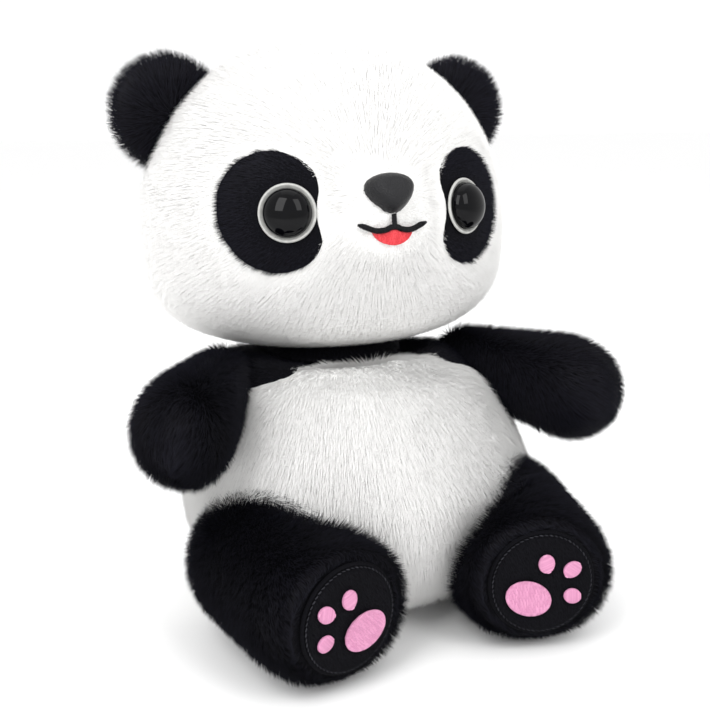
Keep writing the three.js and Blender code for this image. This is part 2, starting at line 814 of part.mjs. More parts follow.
function limbPieces({ pivot, along, axis, range, sizes, obstacles, end }) {
  const frame = limbFrame(pivot, along);
  const path = sweepAngles(range)
    .flatMap((angle) => obstacles.map((solid) => turnedAbout(solid, pivot, axis, -angle)))
    .reduce((all, one) => all.add(one));
  const limb = (inset, around) => {
    const whole = solidFrom(limbGeometry({ ...sizes, inset, around }).applyMatrix4(frame));
    if (!end) return whole;
    const tip = end.point.clone().addScaledVector(end.outward, -inset);
    return whole.intersect(halfSpace(end.outward.clone().negate(), tip));
  };
  return {
    cover: limb(0, faces.limb).subtract(path).subtract(limb(fabric, faces.limbCore)),
    stuffing: limb(fabric + 2 * gap, faces.limbCore).subtract(path),
  };
}

function solePatchGeometry() {
  const { radius, thickness, bevel } = sole;
  return revolved([
    [0, 0],
    [radius, 0],
    [radius, thickness - bevel],
    [radius - bevel, thickness],
    [0, thickness],
  ], faces.sole);
}

function soleSeamGeometry() {
  const { radius, thickness, seamWidth, seamHeight } = sole;
  const outer = radius + gap + seamWidth;
  return revolved([
    [radius + gap, gap],
    [outer, gap],
    [outer, seamHeight],
    [radius + gap, thickness],
    [radius + gap, gap],
  ], faces.sole);
}

function padGeometry({ halfLength, halfWidth }, turn) {
  const inset = embroidery * embroideryEdge.inset;
  const slope = embroidery * embroideryEdge.slope;
  const shape = ellipseShape(0, 0, halfLength - inset, halfWidth - inset, faces.pad);
  return new THREE.ExtrudeGeometry(shape, {
    depth: embroidery - slope,
    bevelThickness: slope,
    bevelSize: inset,
    bevelSegments: 1,
  }).rotateZ(THREE.MathUtils.degToRad(turn));
}

for (const { name, sign } of sides) {
  const legTurn = THREE.MathUtils.degToRad(leg.inward);
  const hip = new THREE.Vector3(sign * leg.hipX, leg.hipY, leg.rootRadius + leg.clearance);
  const foot = new THREE.Vector3(
    hip.x - sign * leg.length * Math.sin(legTurn),
    hip.y - leg.length * Math.cos(legTurn),
    leg.footRadius + leg.clearance,
  );
  const legAlong = foot.clone().sub(hip).normalize();
  const legSizes = {
    rootRadius: leg.rootRadius,
    tipRadius: leg.footRadius,
    length: foot.distanceTo(hip),
    flatten: leg.flatten,
  };
  const legClearance = jointGap + sagOf(leg.rootRadius * leg.flatten, faces.limb);
  const legWithRoom = solidFrom(
    limbGeometry({ ...legSizes, inset: -legClearance, around: faces.limb })
      .applyMatrix4(limbFrame(hip, legAlong)),
  );

  const armTurn = THREE.MathUtils.degToRad(arm.outward);
  const armDrop = THREE.MathUtils.degToRad(arm.droop);
  const armAlong = unit(
    sign * Math.sin(armTurn) * Math.cos(armDrop),
    -Math.cos(armTurn) * Math.cos(armDrop),
    -Math.sin(armDrop),
  );
  const armGroup = new THREE.Group();
  const shoulder = new THREE.Vector3(sign * arm.shoulderX, arm.shoulderY, arm.shoulderHeight);
  const armAxis = new THREE.Vector3().crossVectors(armAlong, upward).normalize();
  joints.push(
    hinge(`${name}_arm_raise`, 'torso', `${name}_arm`, shoulder, armAxis, reach.armRaise),
  );
  const armParts = limbPieces({
    pivot: shoulder,
    along: armAlong,
    axis: armAxis,
    range: reach.armRaise,
    sizes: { rootRadius: arm.rootRadius, tipRadius: arm.pawRadius, length: arm.length },
    obstacles: [torsoWithRoom, headRoom, legWithRoom],
  });
  armGroup.add(
    piece(`${name}_arm_cover`, armParts.cover, 'blackPlush'),
    piece(`${name}_arm_stuffing`, armParts.stuffing, 'stuffing'),
  );

  const soleTurn = THREE.MathUtils.degToRad(leg.soleTurn);
  const soleOut = unit(-sign * Math.sin(soleTurn), -Math.cos(soleTurn), 0);
  const soleCentre = foot.clone().addScaledVector(soleOut, leg.soleInset);
  const legGroup = new THREE.Group();
  const legAxis = new THREE.Vector3().crossVectors(legAlong, upward).normalize();
  joints.push(hinge(`${name}_leg_raise`, 'torso', `${name}_leg`, hip, legAxis, reach.legRaise));
  const legParts = limbPieces({
    pivot: hip,
    along: legAlong,
    axis: legAxis,
    range: reach.legRaise,
    sizes: legSizes,
    obstacles: [torsoWithRoom],
    end: { point: soleCentre, outward: soleOut },
  });
  const print = new THREE.Group();
  limbFrame(soleCentre.addScaledVector(soleOut, gap), soleOut)
    .decompose(print.position, print.quaternion, print.scale);
  print.add(
    piece(`${name}_sole_patch`, solePatchGeometry(), 'shortPile'),
    piece(`${name}_sole_seam`, soleSeamGeometry(), 'blackThread'),
  );
  const padSeat = sole.thickness + gap + embroidery * embroideryEdge.slope;
  for (const pad of pads) {
    const turn = sign > 0 ? pad.turn : 180 - pad.turn;
    const mesh = piece(`${name}_${pad.name}`, padGeometry(pad, turn), 'pinkThread');
    mesh.position.set(sign * pad.outward, pad.up, padSeat);
    print.add(mesh);
  }
  legGroup.add(
    piece(`${name}_leg_cover`, legParts.cover, 'blackPlush'),
    piece(`${name}_leg_stuffing`, legParts.stuffing, 'stuffing'),
    print,
  );
  torsoGroup.add(armGroup, legGroup);
}

torsoGroup.add(neckGroup);
torsoGroup.userData.joints = joints;

export default torsoGroup;
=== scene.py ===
import json
import math

import bmesh
import bpy
import numpy as np
from mathutils import Matrix, Vector
from mathutils.bvhtree import BVHTree


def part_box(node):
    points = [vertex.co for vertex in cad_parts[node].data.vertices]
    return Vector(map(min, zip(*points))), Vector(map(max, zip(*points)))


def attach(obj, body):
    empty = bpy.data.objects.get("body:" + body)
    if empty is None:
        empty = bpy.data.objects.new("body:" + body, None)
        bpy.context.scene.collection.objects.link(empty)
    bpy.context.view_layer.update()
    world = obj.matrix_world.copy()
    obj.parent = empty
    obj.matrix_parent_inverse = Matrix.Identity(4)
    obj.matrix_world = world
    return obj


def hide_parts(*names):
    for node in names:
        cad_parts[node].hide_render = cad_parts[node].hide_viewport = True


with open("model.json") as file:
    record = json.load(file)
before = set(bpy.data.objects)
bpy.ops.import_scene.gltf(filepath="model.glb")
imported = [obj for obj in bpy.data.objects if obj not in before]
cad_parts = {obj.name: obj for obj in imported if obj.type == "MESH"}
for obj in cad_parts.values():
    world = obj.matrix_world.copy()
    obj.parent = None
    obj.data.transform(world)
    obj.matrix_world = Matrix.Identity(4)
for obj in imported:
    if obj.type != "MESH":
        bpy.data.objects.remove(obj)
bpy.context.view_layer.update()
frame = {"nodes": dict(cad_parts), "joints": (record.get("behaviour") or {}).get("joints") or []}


# ---------------------------------------------------------------- Torso
# The body is one bag of knitted plush, white in front and behind, with a black yoke sewn in
# round the shoulders. It is turned, stuffed hard through the back seam and closed by hand.

hinges = {joint["name"]: joint for joint in frame["joints"]}
sides = (("left", 1), ("right", -1))

torso_cell = 0.0032
torso_pile = 0.0064
torso_lean = 60
torso_weave = 0.0016  # how far the backing lies inside the brushed surface
bib_half_width = 0.05
arch_rise, arch_fall, arch_low = 0.006, 0.009, -0.0048  # the front seam moves by half of these
seam_reach = 0.003  # a seam draws the cloth in over this width on each side
neck_hollow = 0.034  # no pile nearer than this to the middle of the neck
shoulder_hollow = 0.011
hip_hollow = 0.027
dull = 0.1  # cloth and pile mirror hardly any light
full_cover = 0.5  # stands for a place well inside a panel, and less this for one well outside


class Wire:
    """A node's output, so that sums on values are written as sums."""

    def __init__(self, tree, socket=None):
        self.tree, self.socket = tree, socket

    def node(self, kind, settings=None, sockets=None):
        made = self.tree.nodes.new(kind)
        for name, value in (settings or {}).items():
            setattr(made, name, value)
        for name, value in (sockets or {}).items():
            if isinstance(name, int):
                socket = made.inputs[name]
            else:
                named = [s for s in made.inputs if name in (s.identifier, s.name)]
                socket = next((s for s in named if s.enabled), named[0])
            if isinstance(value, Wire):
                self.tree.links.new(value.socket, socket)
            else:
                socket.default_value = value
        return Wire(self.tree, next((s for s in made.outputs if s.enabled), None) or made.inputs[0])

    def out(self, name):
        outputs = self.socket.node.outputs
        return Wire(self.tree, next(s for s in outputs if name in (s.identifier, s.name) and s.enabled))

    def math(self, operation, *values):
        return self.node("ShaderNodeMath", {"operation": operation}, dict(enumerate(values)))

    def vector(self, operation, *values):
        return self.node("ShaderNodeVectorMath", {"operation": operation}, dict(enumerate(values)))

    def scaled(self, amount):
        return self.node("ShaderNodeVectorMath", {"operation": "SCALE"}, {0: self, "Scale": amount})

    def noise(self, place, scale, detail):
        sockets = {"Vector": place, "Scale": scale, "Detail": detail}
        return self.node("ShaderNodeTexNoise", None, sockets)

    def bump(self, strength, distance, height):
        sockets = {"Strength": strength, "Distance": distance, "Height": height}
        return self.node("ShaderNodeBump", None, sockets)

    def read(self, name, kind="FLOAT_VECTOR"):
        """What is noted on a mesh under a name."""
        settings = {"data_type": kind}
        return self.node("GeometryNodeInputNamedAttribute", settings, {"Name": name}).out("Attribute")

    def stored(self, name, kind, value):
        """These points, with a value noted on each of them."""
        settings = {"data_type": kind, "domain": "POINT"}
        sockets = {"Geometry": self, "Name": name, "Value": value}
        return self.node("GeometryNodeStoreNamedAttribute", settings, sockets)

    def faced(self, axis, way, pivot="AUTO", before=None):
        """A turn that brings one axis of a shape round to a way."""
        sockets = {"Vector": way}
        if before:
            sockets["Rotation"] = before
        return self.node("FunctionNodeAlignRotationToVector", {"axis": axis, "pivot_axis": pivot}, sockets)

    def __add__(self, other):
        return self.math("ADD", self, other)

    __radd__ = __add__

    def __sub__(self, other):
        return self.math("SUBTRACT", self, other)

    def __rsub__(self, other):
        return self.math("SUBTRACT", other, self)

    def __mul__(self, other):
        return self.math("MULTIPLY", self, other)

    __rmul__ = __mul__

    def __truediv__(self, other):
        return self.math("DIVIDE", self, other)

    def __rtruediv__(self, other):
        return self.math("DIVIDE", other, self)


def colours(wire, amount, one, other):
    """A mix of two colours: one at 0 and the other at 1."""
    return wire.node(
        "ShaderNodeMix",
        {"data_type": "RGBA"},
        {
            "Factor_Float": amount,
            "A_Color": one if isinstance(one, Wire) else (*one, 1),
            "B_Color": other if isinstance(other, Wire) else (*other, 1),
        },
    ).out("Result_Color")


def blank(name, **constants):
    """A new material, its main shader, a wire to start from and the place on the piece."""
    made = bpy.data.materials.new(name)
    made.use_nodes = True
    shader = made.node_tree.nodes["Principled BSDF"]
    for socket, value in constants.items():
        shader.inputs[socket.replace("_", " ")].default_value = value
    start = Wire(made.node_tree)
    return made, shader, start, start.node("ShaderNodeTexCoord").out("Object")


def plugged(shader, **links):
    for name, value in links.items():
        value.tree.links.new(value.socket, shader.inputs[name.replace("_", " ")])


def pile_finish(name, root_shade, tip, roughness, uneven):
    """Brushed pile: each hair is darker towards its root, painted shade deep in the pile, and no two hairs
    are quite alike.
    """
    made, shader, start, place = blank(name, Roughness=roughness, Specular_IOR_Level=dull)
    rise = start.node("ShaderNodeAttribute", {"attribute_name": "rise"}).out("Fac")
    tone = start.node("ShaderNodeAttribute", {"attribute_name": "tone"}).out("Fac")
    drift = start.noise(place, 45.0, 2.0).out("Fac")
    shade = (tone * 0.7 + drift * 0.6 - 0.65) * uneven + 1.0
    # painted shade: the colour runs from the darker root colour at the skin to the tip colour
    plugged(shader, Base_Color=colours(start, rise, root_shade, tip).scaled(shade))
    return made


def backing_finish(name, colour, roughness):
    """The knitted backing under the pile, with its short underwool."""
    made, shader, start, place = blank(name, Roughness=roughness, Specular_IOR_Level=dull)
    wool = start.noise(place, 900.0, 3.0).out("Fac")
    fluff = start.noise(place, 160.0, 2.0).out("Fac")
    dark = [0.8 * c for c in colour]
    bump = start.bump(0.6, 0.001, wool + fluff)
    plugged(shader, Base_Color=colours(start, wool, dark, colour), Normal=bump)
    return made


# painted shade: each pile's root colour is darker than its tip colour, for the shade deep in the pile near
# the skin
black_root_shade = (0.0015, 0.0015, 0.0025)
white_pile = pile_finish("white plush pile", (0.93, 0.925, 0.91), (0.96, 0.955, 0.94), 0.9, 0.03)
black_pile = pile_finish("black plush pile", black_root_shade, (0.011, 0.011, 0.0185), 0.5, 0.9)
white_backing = backing_finish("white plush backing", (0.95, 0.945, 0.93), 0.95)
black_backing = backing_finish("black plush backing", (0.003, 0.003, 0.0045), 0.95)


def linked(name, mesh):
    made = bpy.data.objects.new(name, mesh)
    bpy.context.scene.collection.objects.link(made)
    return made


def baked(thing):
    """The plain mesh that a thing's modifiers make, in place of its own."""
    bpy.context.view_layer.update()
    graph = bpy.context.evaluated_depsgraph_get()
    mesh = bpy.data.meshes.new_from_object(thing.evaluated_get(graph), depsgraph=graph)
    old = thing.data
    thing.modifiers.clear()
    thing.data = mesh
    bpy.data.meshes.remove(old)
    mesh.name = thing.name
    return thing


def corners(mesh):
    places = np.empty(3 * len(mesh.vertices))
    mesh.vertices.foreach_get("co", places)
    return places.reshape(-1, 3)


def upright(mesh):
    """The outward direction at each corner."""
    ways = np.empty(3 * len(mesh.vertices))
    mesh.vertex_normals.foreach_get("vector", ways)
    return ways.reshape(-1, 3)


def put(mesh, places):
    mesh.vertices.foreach_set("co", places.ravel())
    mesh.update()


def smoothed(mesh):
    mesh.polygons.foreach_set("use_smooth", [True] * len(mesh.polygons))


def outer_only(mesh):
    """Drops the hollow insides and keeps the outer skin."""
    work = bmesh.new()
    work.from_mesh(mesh)
    left, best = set(work.verts), []
    while left:
        found, queue = set(), [next(iter(left))]
        found.add(queue[0])
        while queue:
            for edge in queue.pop().link_edges:
                for vert in edge.verts:
                    if vert not in found:
                        found.add(vert)
                        queue.append(vert)
        left -= found
        if len(found) > len(best):
            best = found
    bmesh.ops.delete(work, geom=[v for v in work.verts if v not in best], context="VERTS")
    work.to_mesh(mesh)
    work.free()


def relaxed(mesh, rounds):
    """Evens out a skin without shrinking it: each round draws it in and lets it out again."""
    places = corners(mesh)
    edges = np.empty(2 * len(mesh.edges), np.int32)
    mesh.edges.foreach_get("vertices", edges)
    one, other = edges.reshape(-1, 2).T
    count = np.bincount(edges, minlength=len(places))[:, None]
    for step in [0.55, -0.57] * rounds:
        total = np.stack(
            [
                np.bincount(one, places[other, k], len(places))
                + np.bincount(other, places[one, k], len(places))
                for k in range(3)
            ],
            axis=1,
        )
        places = places + step * (total / count - places)
    put(mesh, places)


def skin_of(name, nodes, cell, rounds, balls=()):
    """One closed skin round copies of CAD nodes, with balls of stuffing where a limb runs on."""
    work = bmesh.new()
    for node in nodes:
        work.from_mesh(frame["nodes"][node].data)
    bmesh.ops.remove_doubles(work, verts=work.verts, dist=1e-6)
    for centre, size in balls:
        grown = Matrix.Translation(centre) @ Matrix.Diagonal((*size, 1))
        bmesh.ops.create_uvsphere(work, u_segments=48, v_segments=32, radius=1, matrix=grown)
    mesh = bpy.data.meshes.new(name)
    work.to_mesh(mesh)
    work.free()
    made = linked(name, mesh)
    wrap = made.modifiers.new("wrap", "REMESH")
    wrap.mode, wrap.voxel_size, wrap.use_smooth_shade = "VOXEL", cell, True
    baked(made)
    outer_only(made.data)
    relaxed(made.data, rounds)
    return made


def tree_of(mesh):
    return BVHTree.FromPolygons(corners(mesh).tolist(), [tuple(p.vertices) for p in mesh.polygons])


def distances(nodes, places):
    """How far each place is from the nearest of some CAD nodes."""
    work = bmesh.new()
    for node in nodes:
        work.from_mesh(frame["nodes"][node].data)
    tree = BVHTree.FromBMesh(work)
    work.free()
    return np.array([tree.find_nearest(Vector(p))[3] for p in places])


def stays_inside(places, skin, joint, deep=0.003):
    """Which places stay deep under another skin at rest and at both ends of a joint's movement."""
    tree = tree_of(skin.data)
    hinge = hinges[joint]
    hub = np.array(hinge["pos_m"])
    kept = np.ones(len(places), bool)
    for angle in (0, *hinge["range_deg"]):
        turn = np.array(Matrix.Rotation(math.radians(angle), 3, Vector(hinge["axis"])))
        for k, place in enumerate((places - hub) @ turn.T + hub):
            if kept[k]:
                close, out, _, far = tree.find_nearest(Vector(place))
                kept[k] = far > deep and (Vector(place) - close).dot(out) < 0
    return kept


def from_joint(places, joint):
    """How far each place is from the middle of a joint."""
    return np.linalg.norm(places - np.array(hinges[joint]["pos_m"]), axis=1)


def outward(places, core):
    """The way from a core to each place."""
    ways = places - core
    return ways / np.linalg.norm(ways, axis=1, keepdims=True)


def drawn_in(apart):
    """1 on a seam, where a place is as near to one panel as to the other, and 0 away from it."""
    return np.exp(-((np.abs(apart) / seam_reach) ** 2))


def eased(value, low, high):
    """0 below low, 1 above high, and a smooth step between them."""
    t = np.clip((value - low) / (high - low), 0, 1)
    return t * t * (3 - 2 * t)


def pressed(heights):
    """How much of its length the pile keeps near the floor, where the weight flattens it."""
    return 0.3 + 0.7 * eased(heights, 0.001, 0.011)


def noted(mesh, name, values):
    """Notes a number or a direction on each corner of a mesh."""
    values = np.asarray(values, np.float32)
    kind = "FLOAT" if values.ndim == 1 else "FLOAT_VECTOR"
    layer = mesh.attributes.get(name) or mesh.attributes.new(name, kind, "POINT")
    layer.data.foreach_set("value" if kind == "FLOAT" else "vector", values.ravel())


def brushed(mesh, ways):
    """Notes which way the pile is brushed, along the surface."""
    out = upright(mesh)
    ways = ways - out * np.sum(ways * out, axis=1, keepdims=True)
    noted(mesh, "lay", ways / np.maximum(np.linalg.norm(ways, axis=1, keepdims=True), 1e-9))


def hair_mesh():
    """One hair, a unit long and wide: a three-sided spike whose tip bends over by 1.5 widths."""
    turns = [2 * math.pi * k / 3 for k in range(3)]
    places = [(0.5 * math.cos(a), 0.5 * math.sin(a), 0) for a in turns] + [(1.5, 0, 1)]
    mesh = bpy.data.meshes.new("hair")
    mesh.from_pydata(places, [], [(0, 1, 3), (1, 2, 3), (2, 0, 3), (0, 2, 1)])
    smoothed(mesh)
    noted(mesh, "rise", [0.0, 0.0, 0.0, 1.0])
    return mesh


hair = bpy.data.objects.new("hair", hair_mesh())


def new_tree(name, base, sizes, each, result):
    """An empty tree with named inputs: what it starts from, its sizes, a seed, a shape, a finish."""
    tree = bpy.data.node_groups.new(name, "GeometryNodeTree")
    kinds = {base: "Geometry", **{size: "Float" for size in sizes}}
    kinds |= {"Seed": "Int", each: "Object", "Finish": "Material"}
    for socket, kind in kinds.items():
        tree.interface.new_socket(socket, in_out="INPUT", socket_type=f"NodeSocket{kind}")
    tree.interface.new_socket(result, in_out="OUTPUT", socket_type="NodeSocketGeometry")
    return tree, Wire(tree).node("NodeGroupInput")


def repeated(start, points, each, turn, size, result):
    """Ends a tree with one real copy of a shape at each point, in the asked finish."""
    shape = start.node("GeometryNodeObjectInfo", None, {"Object": start.out(each)}).out("Geometry")
    sockets = {"Points": points, "Instance": shape, "Rotation": turn, "Scale": size}
    placed = start.node("GeometryNodeInstanceOnPoints", None, sockets)
    real = start.node("GeometryNodeRealizeInstances", None, {"Geometry": placed})
    finish = {"Geometry": real, "Material": start.out("Finish")}
    dyed = start.node("GeometryNodeSetMaterial", None, finish)
    start.node("NodeGroupOutput", None, {result: dyed})


def pile_tree():
    """Geometry nodes that plant hairs over a skin, each leaning the way the pile is brushed.

    Points are strewn a little past the panel's edge and then cut off right on it.
    """
    sizes = ("Hairs per mm2", "Length", "Width", "Lean", "Sway", "Stray", "Tuft size", "Tuft pull")
    tree, start = new_tree("pile", "Skin", sizes, "Hair", "Pile")
    asked = start.out
    past_edge = -0.006
    per_m2 = 1e6

    def chance(kind, low, high, seed):
        ends = {"FLOAT": ("Min_001", "Max_001", "Value_001"), "FLOAT_VECTOR": ("Min", "Max", "Value")}
        first, last, result = ends[kind]
        sockets = {first: low, last: high, "Seed": asked("Seed") + seed}
        return start.node("FunctionNodeRandomValue", {"data_type": kind}, sockets).out(result)

    near = start.math("GREATER_THAN", start.read("cover", "FLOAT"), past_edge)
    strewn = start.node(
        "GeometryNodeDistributePointsOnFaces",
        {"distribute_method": "RANDOM"},
        {"Mesh": asked("Skin"), "Density": asked("Hairs per mm2") * per_m2 * near, "Seed": asked("Seed")},
    )
    outside = start.math("LESS_THAN", start.read("cover", "FLOAT"), 0.0)
    planted = start.node(
        "GeometryNodeDeleteGeometry",
        {"domain": "POINT"},
        {"Geometry": strewn.out("Points"), "Selection": outside},
    )
    out = strewn.out("Normal")
    planted = planted.stored("out", "FLOAT_VECTOR", out)
    planted = planted.stored("tone", "FLOAT", chance("FLOAT", 0.0, 1.0, 1))

    place = start.node("GeometryNodeInputPosition")
    lay = start.read("lay")
    lean = asked("Lean")
    drift = start.noise(place, 70.0, 2.0).out("Color")
    drift = start.vector("SUBTRACT", drift, (0.5, 0.5, 0.5)).scaled(asked("Sway"))
    stray = chance("FLOAT_VECTOR", (-1.0, -1.0, -1.0), (1.0, 1.0, 1.0), 2).scaled(asked("Stray"))
    tufts = {"Vector": place, "Scale": 1.0 / asked("Tuft size")}
    tuft = start.node("ShaderNodeTexVoronoi", None, tufts).out("Position")
    tuft = start.vector("SUBTRACT", tuft, place).scaled(asked("Tuft pull") / asked("Length"))
    way = out.scaled(lean.math("COSINE", lean))
    for part in (lay.scaled(lean.math("SINE", lean)), drift, stray, tuft):
        way = start.vector("ADD", way, part)
    turn = start.faced("Z", way)
    turn = start.faced("X", start.vector("ADD", lay, stray), "Z", turn)
    long = asked("Length") * chance("FLOAT", 0.7, 1.12, 3) * start.read("trim", "FLOAT")
    wide = asked("Width") * chance("FLOAT", 0.8, 1.2, 4)
    size = start.node("ShaderNodeCombineXYZ", None, {"X": wide, "Y": wide, "Z": long})
    repeated(start, planted, "Hair", turn, size, "Pile")
    return tree


pile_nodes = pile_tree()


def answered(modifier, values):
    """Gives a modifier its sizes."""
    for socket in modifier.node_group.interface.items_tree:
        if socket.in_out == "INPUT" and socket.name in values:
            modifier[socket.identifier] = values[socket.name]


def pile(name, skin, body, finish, cover, density, length, width, lean, seed,
         sway=0.28, stray=0.13, tuft_size=0.0042, tuft_pull=0.22, gloss=0.75):
    """Hair planted on a skin where cover is above 0, as one plain mesh on a body.

    Cover is how far a place lies inside the panel's edge, lean is in degrees off upright, and
    gloss is how far a hair is lit as the skin under it is.
    """
    noted(skin.data, "cover", cover)
    made = linked(name, skin.data.copy())
    grow = made.modifiers.new("pile", "NODES")
    grow.node_group = pile_nodes
    answered(grow, {
        "Hairs per mm2": density, "Length": length, "Width": width, "Lean": math.radians(lean),
        "Sway": sway, "Stray": stray, "Tuft size": tuft_size, "Tuft pull": tuft_pull,
        "Seed": seed, "Hair": hair, "Finish": finish,
    })
    baked(made)
    mesh = made.data
    out = np.empty(3 * len(mesh.vertices))
    mesh.attributes["out"].data.foreach_get("vector", out)
    out = gloss * out.reshape(-1, 3) + (1 - gloss) * upright(mesh)
    out /= np.maximum(np.linalg.norm(out, axis=1, keepdims=True), 1e-9)
    mesh.normals_split_custom_set_from_vertices(out)
    mesh.attributes.remove(mesh.attributes["out"])
    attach(made, body)
    return made


def dressed(skin, finish):
    skin.data.materials.clear()
    skin.data.materials.append(finish)
    smoothed(skin.data)


def panel(name, skin, inside, lift, wall, finish):
    """A sewn-in panel: the part of a skin where inside is positive, with a wall of its own.

    Corners just past the edge are slid onto it, so the edge runs clean through the skin's faces.
    """
    work = bmesh.new()
    work.from_mesh(skin.data)
    work.verts.ensure_lookup_table()
    outer = [f for f in work.faces if max(inside[v.index] for v in f.verts) <= 0]
    moved = {}
    for vert in work.verts:
        if inside[vert.index] <= 0:
            near = {v for f in vert.link_faces for v in f.verts if inside[v.index] > 0}
            if near:
                shares = [inside[vert.index] / (inside[vert.index] - inside[v.index]) for v in near]
                spots = [vert.co.lerp(v.co, share) for v, share in zip(near, shares)]
                moved[vert] = sum(spots, Vector()) / len(spots)
    for vert, place in moved.items():
        vert.co = place
    bmesh.ops.delete(work, geom=outer, context="FACES")
    loose = [v for v in work.verts if not v.link_faces]
    bmesh.ops.delete(work, geom=loose, context="VERTS")
    mesh = bpy.data.meshes.new(name)
    work.to_mesh(mesh)
    work.free()
    put(mesh, corners(mesh) + lift * upright(mesh))
    made = linked(name, mesh)
    thick = made.modifiers.new("wall", "SOLIDIFY")
    thick.thickness, thick.offset = wall, -1
    baked(made)
    dressed(made, finish)
    return made


torso_panels = ("belly_panel", "back_panel", "shoulder_yoke")
torso_skin = skin_of("torso_cover", (*torso_panels, "torso_stuffing"), torso_cell, 25)
surface = corners(torso_skin.data)
to_yoke = distances(["shoulder_yoke"], surface)
to_belly = distances(["belly_panel"], surface)
to_back = distances(["back_panel"], surface)
arch = np.maximum(arch_rise - arch_fall * (surface[:, 0] / bib_half_width) ** 2, arch_low)
arch *= eased(to_back - to_belly, 0, 0.02)  # the seam is straight behind
yoke_side = np.minimum(to_belly, to_back) - to_yoke - arch
seam = drawn_in(yoke_side) + drawn_in(to_belly - to_back)
depth = torso_weave + 0.0007 * np.minimum(seam, 1)
put(torso_skin.data, surface - depth[:, None] * upright(torso_skin.data))
dressed(torso_skin, white_backing)
behind = np.clip((surface[:, 1] - surface[:, 1].mean()) / 0.03, -1, 1)
brushed(torso_skin.data, np.c_[surface[:, 0] / 0.09, 0.7 * behind, -np.ones(len(surface))])
edge_clip = 0.5 + 0.5 * eased(np.abs(yoke_side), 0.001, 0.009)
noted(torso_skin.data, "trim", edge_clip * pressed(surface[:, 2]))
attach(torso_skin, "torso")
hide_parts("belly_panel", "back_panel", "torso_stuffing")

yoke = panel("shoulder_yoke_cover", torso_skin, yoke_side, 0.0008, 0.0016, black_backing)
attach(yoke, "torso")
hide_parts("shoulder_yoke")

shows = from_joint(surface, "neck_turn") - neck_hollow
shows[surface[:, 2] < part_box("neck_collar")[0].z - 0.003] = neck_hollow
for side, _ in sides:
    shows = np.minimum(shows, from_joint(surface, f"{side}_arm_raise") - shoulder_hollow)
    shows = np.minimum(shows, from_joint(surface, f"{side}_leg_raise") - hip_hollow)
for name, front_side, density, seed in (
    ("belly_pile", to_back - to_belly, 1.95, 11),
    ("back_pile", to_belly - to_back, 1.9, 12),
):
    cover = np.minimum(np.minimum(-yoke_side, front_side), shows)
    pile(name, torso_skin, "torso", white_pile, cover, density, torso_pile,
         0.00029, torso_lean, seed, sway=0.2, stray=0.06, tuft_pull=0.04, gloss=1.0)
pile("shoulder_pile", torso_skin, "torso", black_pile, np.minimum(yoke_side, shows),
     2.3, torso_pile, 0.0003, 46, 13)


# ---------------------------------------------------------------- Neck
# A narrow collar of black plush joins the head to the body. The head's hollow turns on it.

collar = skin_of("neck_collar_cover", ["neck_collar"], 0.0016, 6)
dressed(collar, black_backing)
from_axis = corners(collar.data) * np.array([1, 1, 0])
brushed(collar.data, from_axis + np.array([0, 0, 1e-4]))
all_over = np.ones(len(from_axis))
noted(collar.data, "trim", all_over)
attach(collar, "neck")
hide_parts("neck_collar")
pile("neck_collar_pile", collar, "neck", black_pile, all_over, 1.0, 0.003,
     0.00034, 50, 14)


# ---------------------------------------------------------------- Head
# Two white halves meet over the crown at the ears, with a muzzle panel and two black eye patches
# let into the front. It is stuffed round and hard, and the pile is clipped close round the face.

head_cell = 0.0032
head_weave = 0.0015
head_pile = 0.0056
close_clip = 0.0012  # bare cloth beside the hard pieces
full_pile = 0.013  # distance from them where the pile has its full length
bare_depth = 0.0002

head_panels = ("head_front_panel", "head_back_panel", "muzzle_panel", "left_eye_patch", "right_eye_patch")
head_skin = skin_of("head_cover", (*head_panels, "head_stuffing"), head_cell, 30)
surface = corners(head_skin.data)
white_side = distances(["head_front_panel", "head_back_panel", "muzzle_panel"], surface)
patch_side = {side: white_side - distances([f"{side}_eye_patch"], surface) for side, _ in sides}
nearest_patch = np.maximum(patch_side["left"], patch_side["right"])
hard_pieces = ("nose", "mouth_stitching", "tongue_embroidery", "left_eye_ring", "right_eye_ring")
hard = distances(hard_pieces, surface)
grown_in = eased(hard, close_clip, full_pile)
rear_side = distances(["head_front_panel"], surface) - distances(["head_back_panel"], surface)
depth = bare_depth + (head_weave - bare_depth) * grown_in + 0.0006 * drawn_in(rear_side)
put(head_skin.data, surface - depth[:, None] * upright(head_skin.data))
dressed(head_skin, white_backing)
low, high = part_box("nose")
muzzle_middle = np.array([0, 0.5 * (low.y + high.y) + 0.01, low.z - 0.004])
brushed(head_skin.data, outward(surface, muzzle_middle) + np.array([0, 0.25, -0.4]))
edge_clip = np.where(nearest_patch > 0, 0.75, 0.5)
edge_clip += (1 - edge_clip) * eased(np.abs(nearest_patch), 0.0015, 0.009)
above_jaw = surface[:, 2] - surface[:, 2].min()
jaw_clip = 0.6 + 0.4 * eased(above_jaw, 0.002, 0.03)
noted(head_skin.data, "trim", (0.3 + 0.7 * grown_in) * edge_clip * jaw_clip)
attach(head_skin, "head")
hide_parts("head_front_panel", "head_back_panel", "muzzle_panel", "head_stuffing")

cup = from_joint(surface, "neck_turn") - neck_hollow - 0.004
clear = np.minimum(hard - close_clip, cup)
in_white = np.minimum(-nearest_patch, clear)
left_side = surface[:, 0]
for name, half, density, seed in (
    ("head_front_left_pile", np.minimum(-rear_side, left_side), 2.7, 21),
    ("head_front_right_pile", np.minimum(-rear_side, -left_side), 2.7, 22),
    ("head_back_left_pile", np.minimum(rear_side, left_side), 2.2, 23),
    ("head_back_right_pile", np.minimum(rear_side, -left_side), 2.2, 24),
):
    pile(name, head_skin, "head", white_pile, np.minimum(in_white, half), density,
         head_pile, 0.00027, 58, seed, sway=0.12, stray=0.06, tuft_pull=0.03, gloss=1.0)

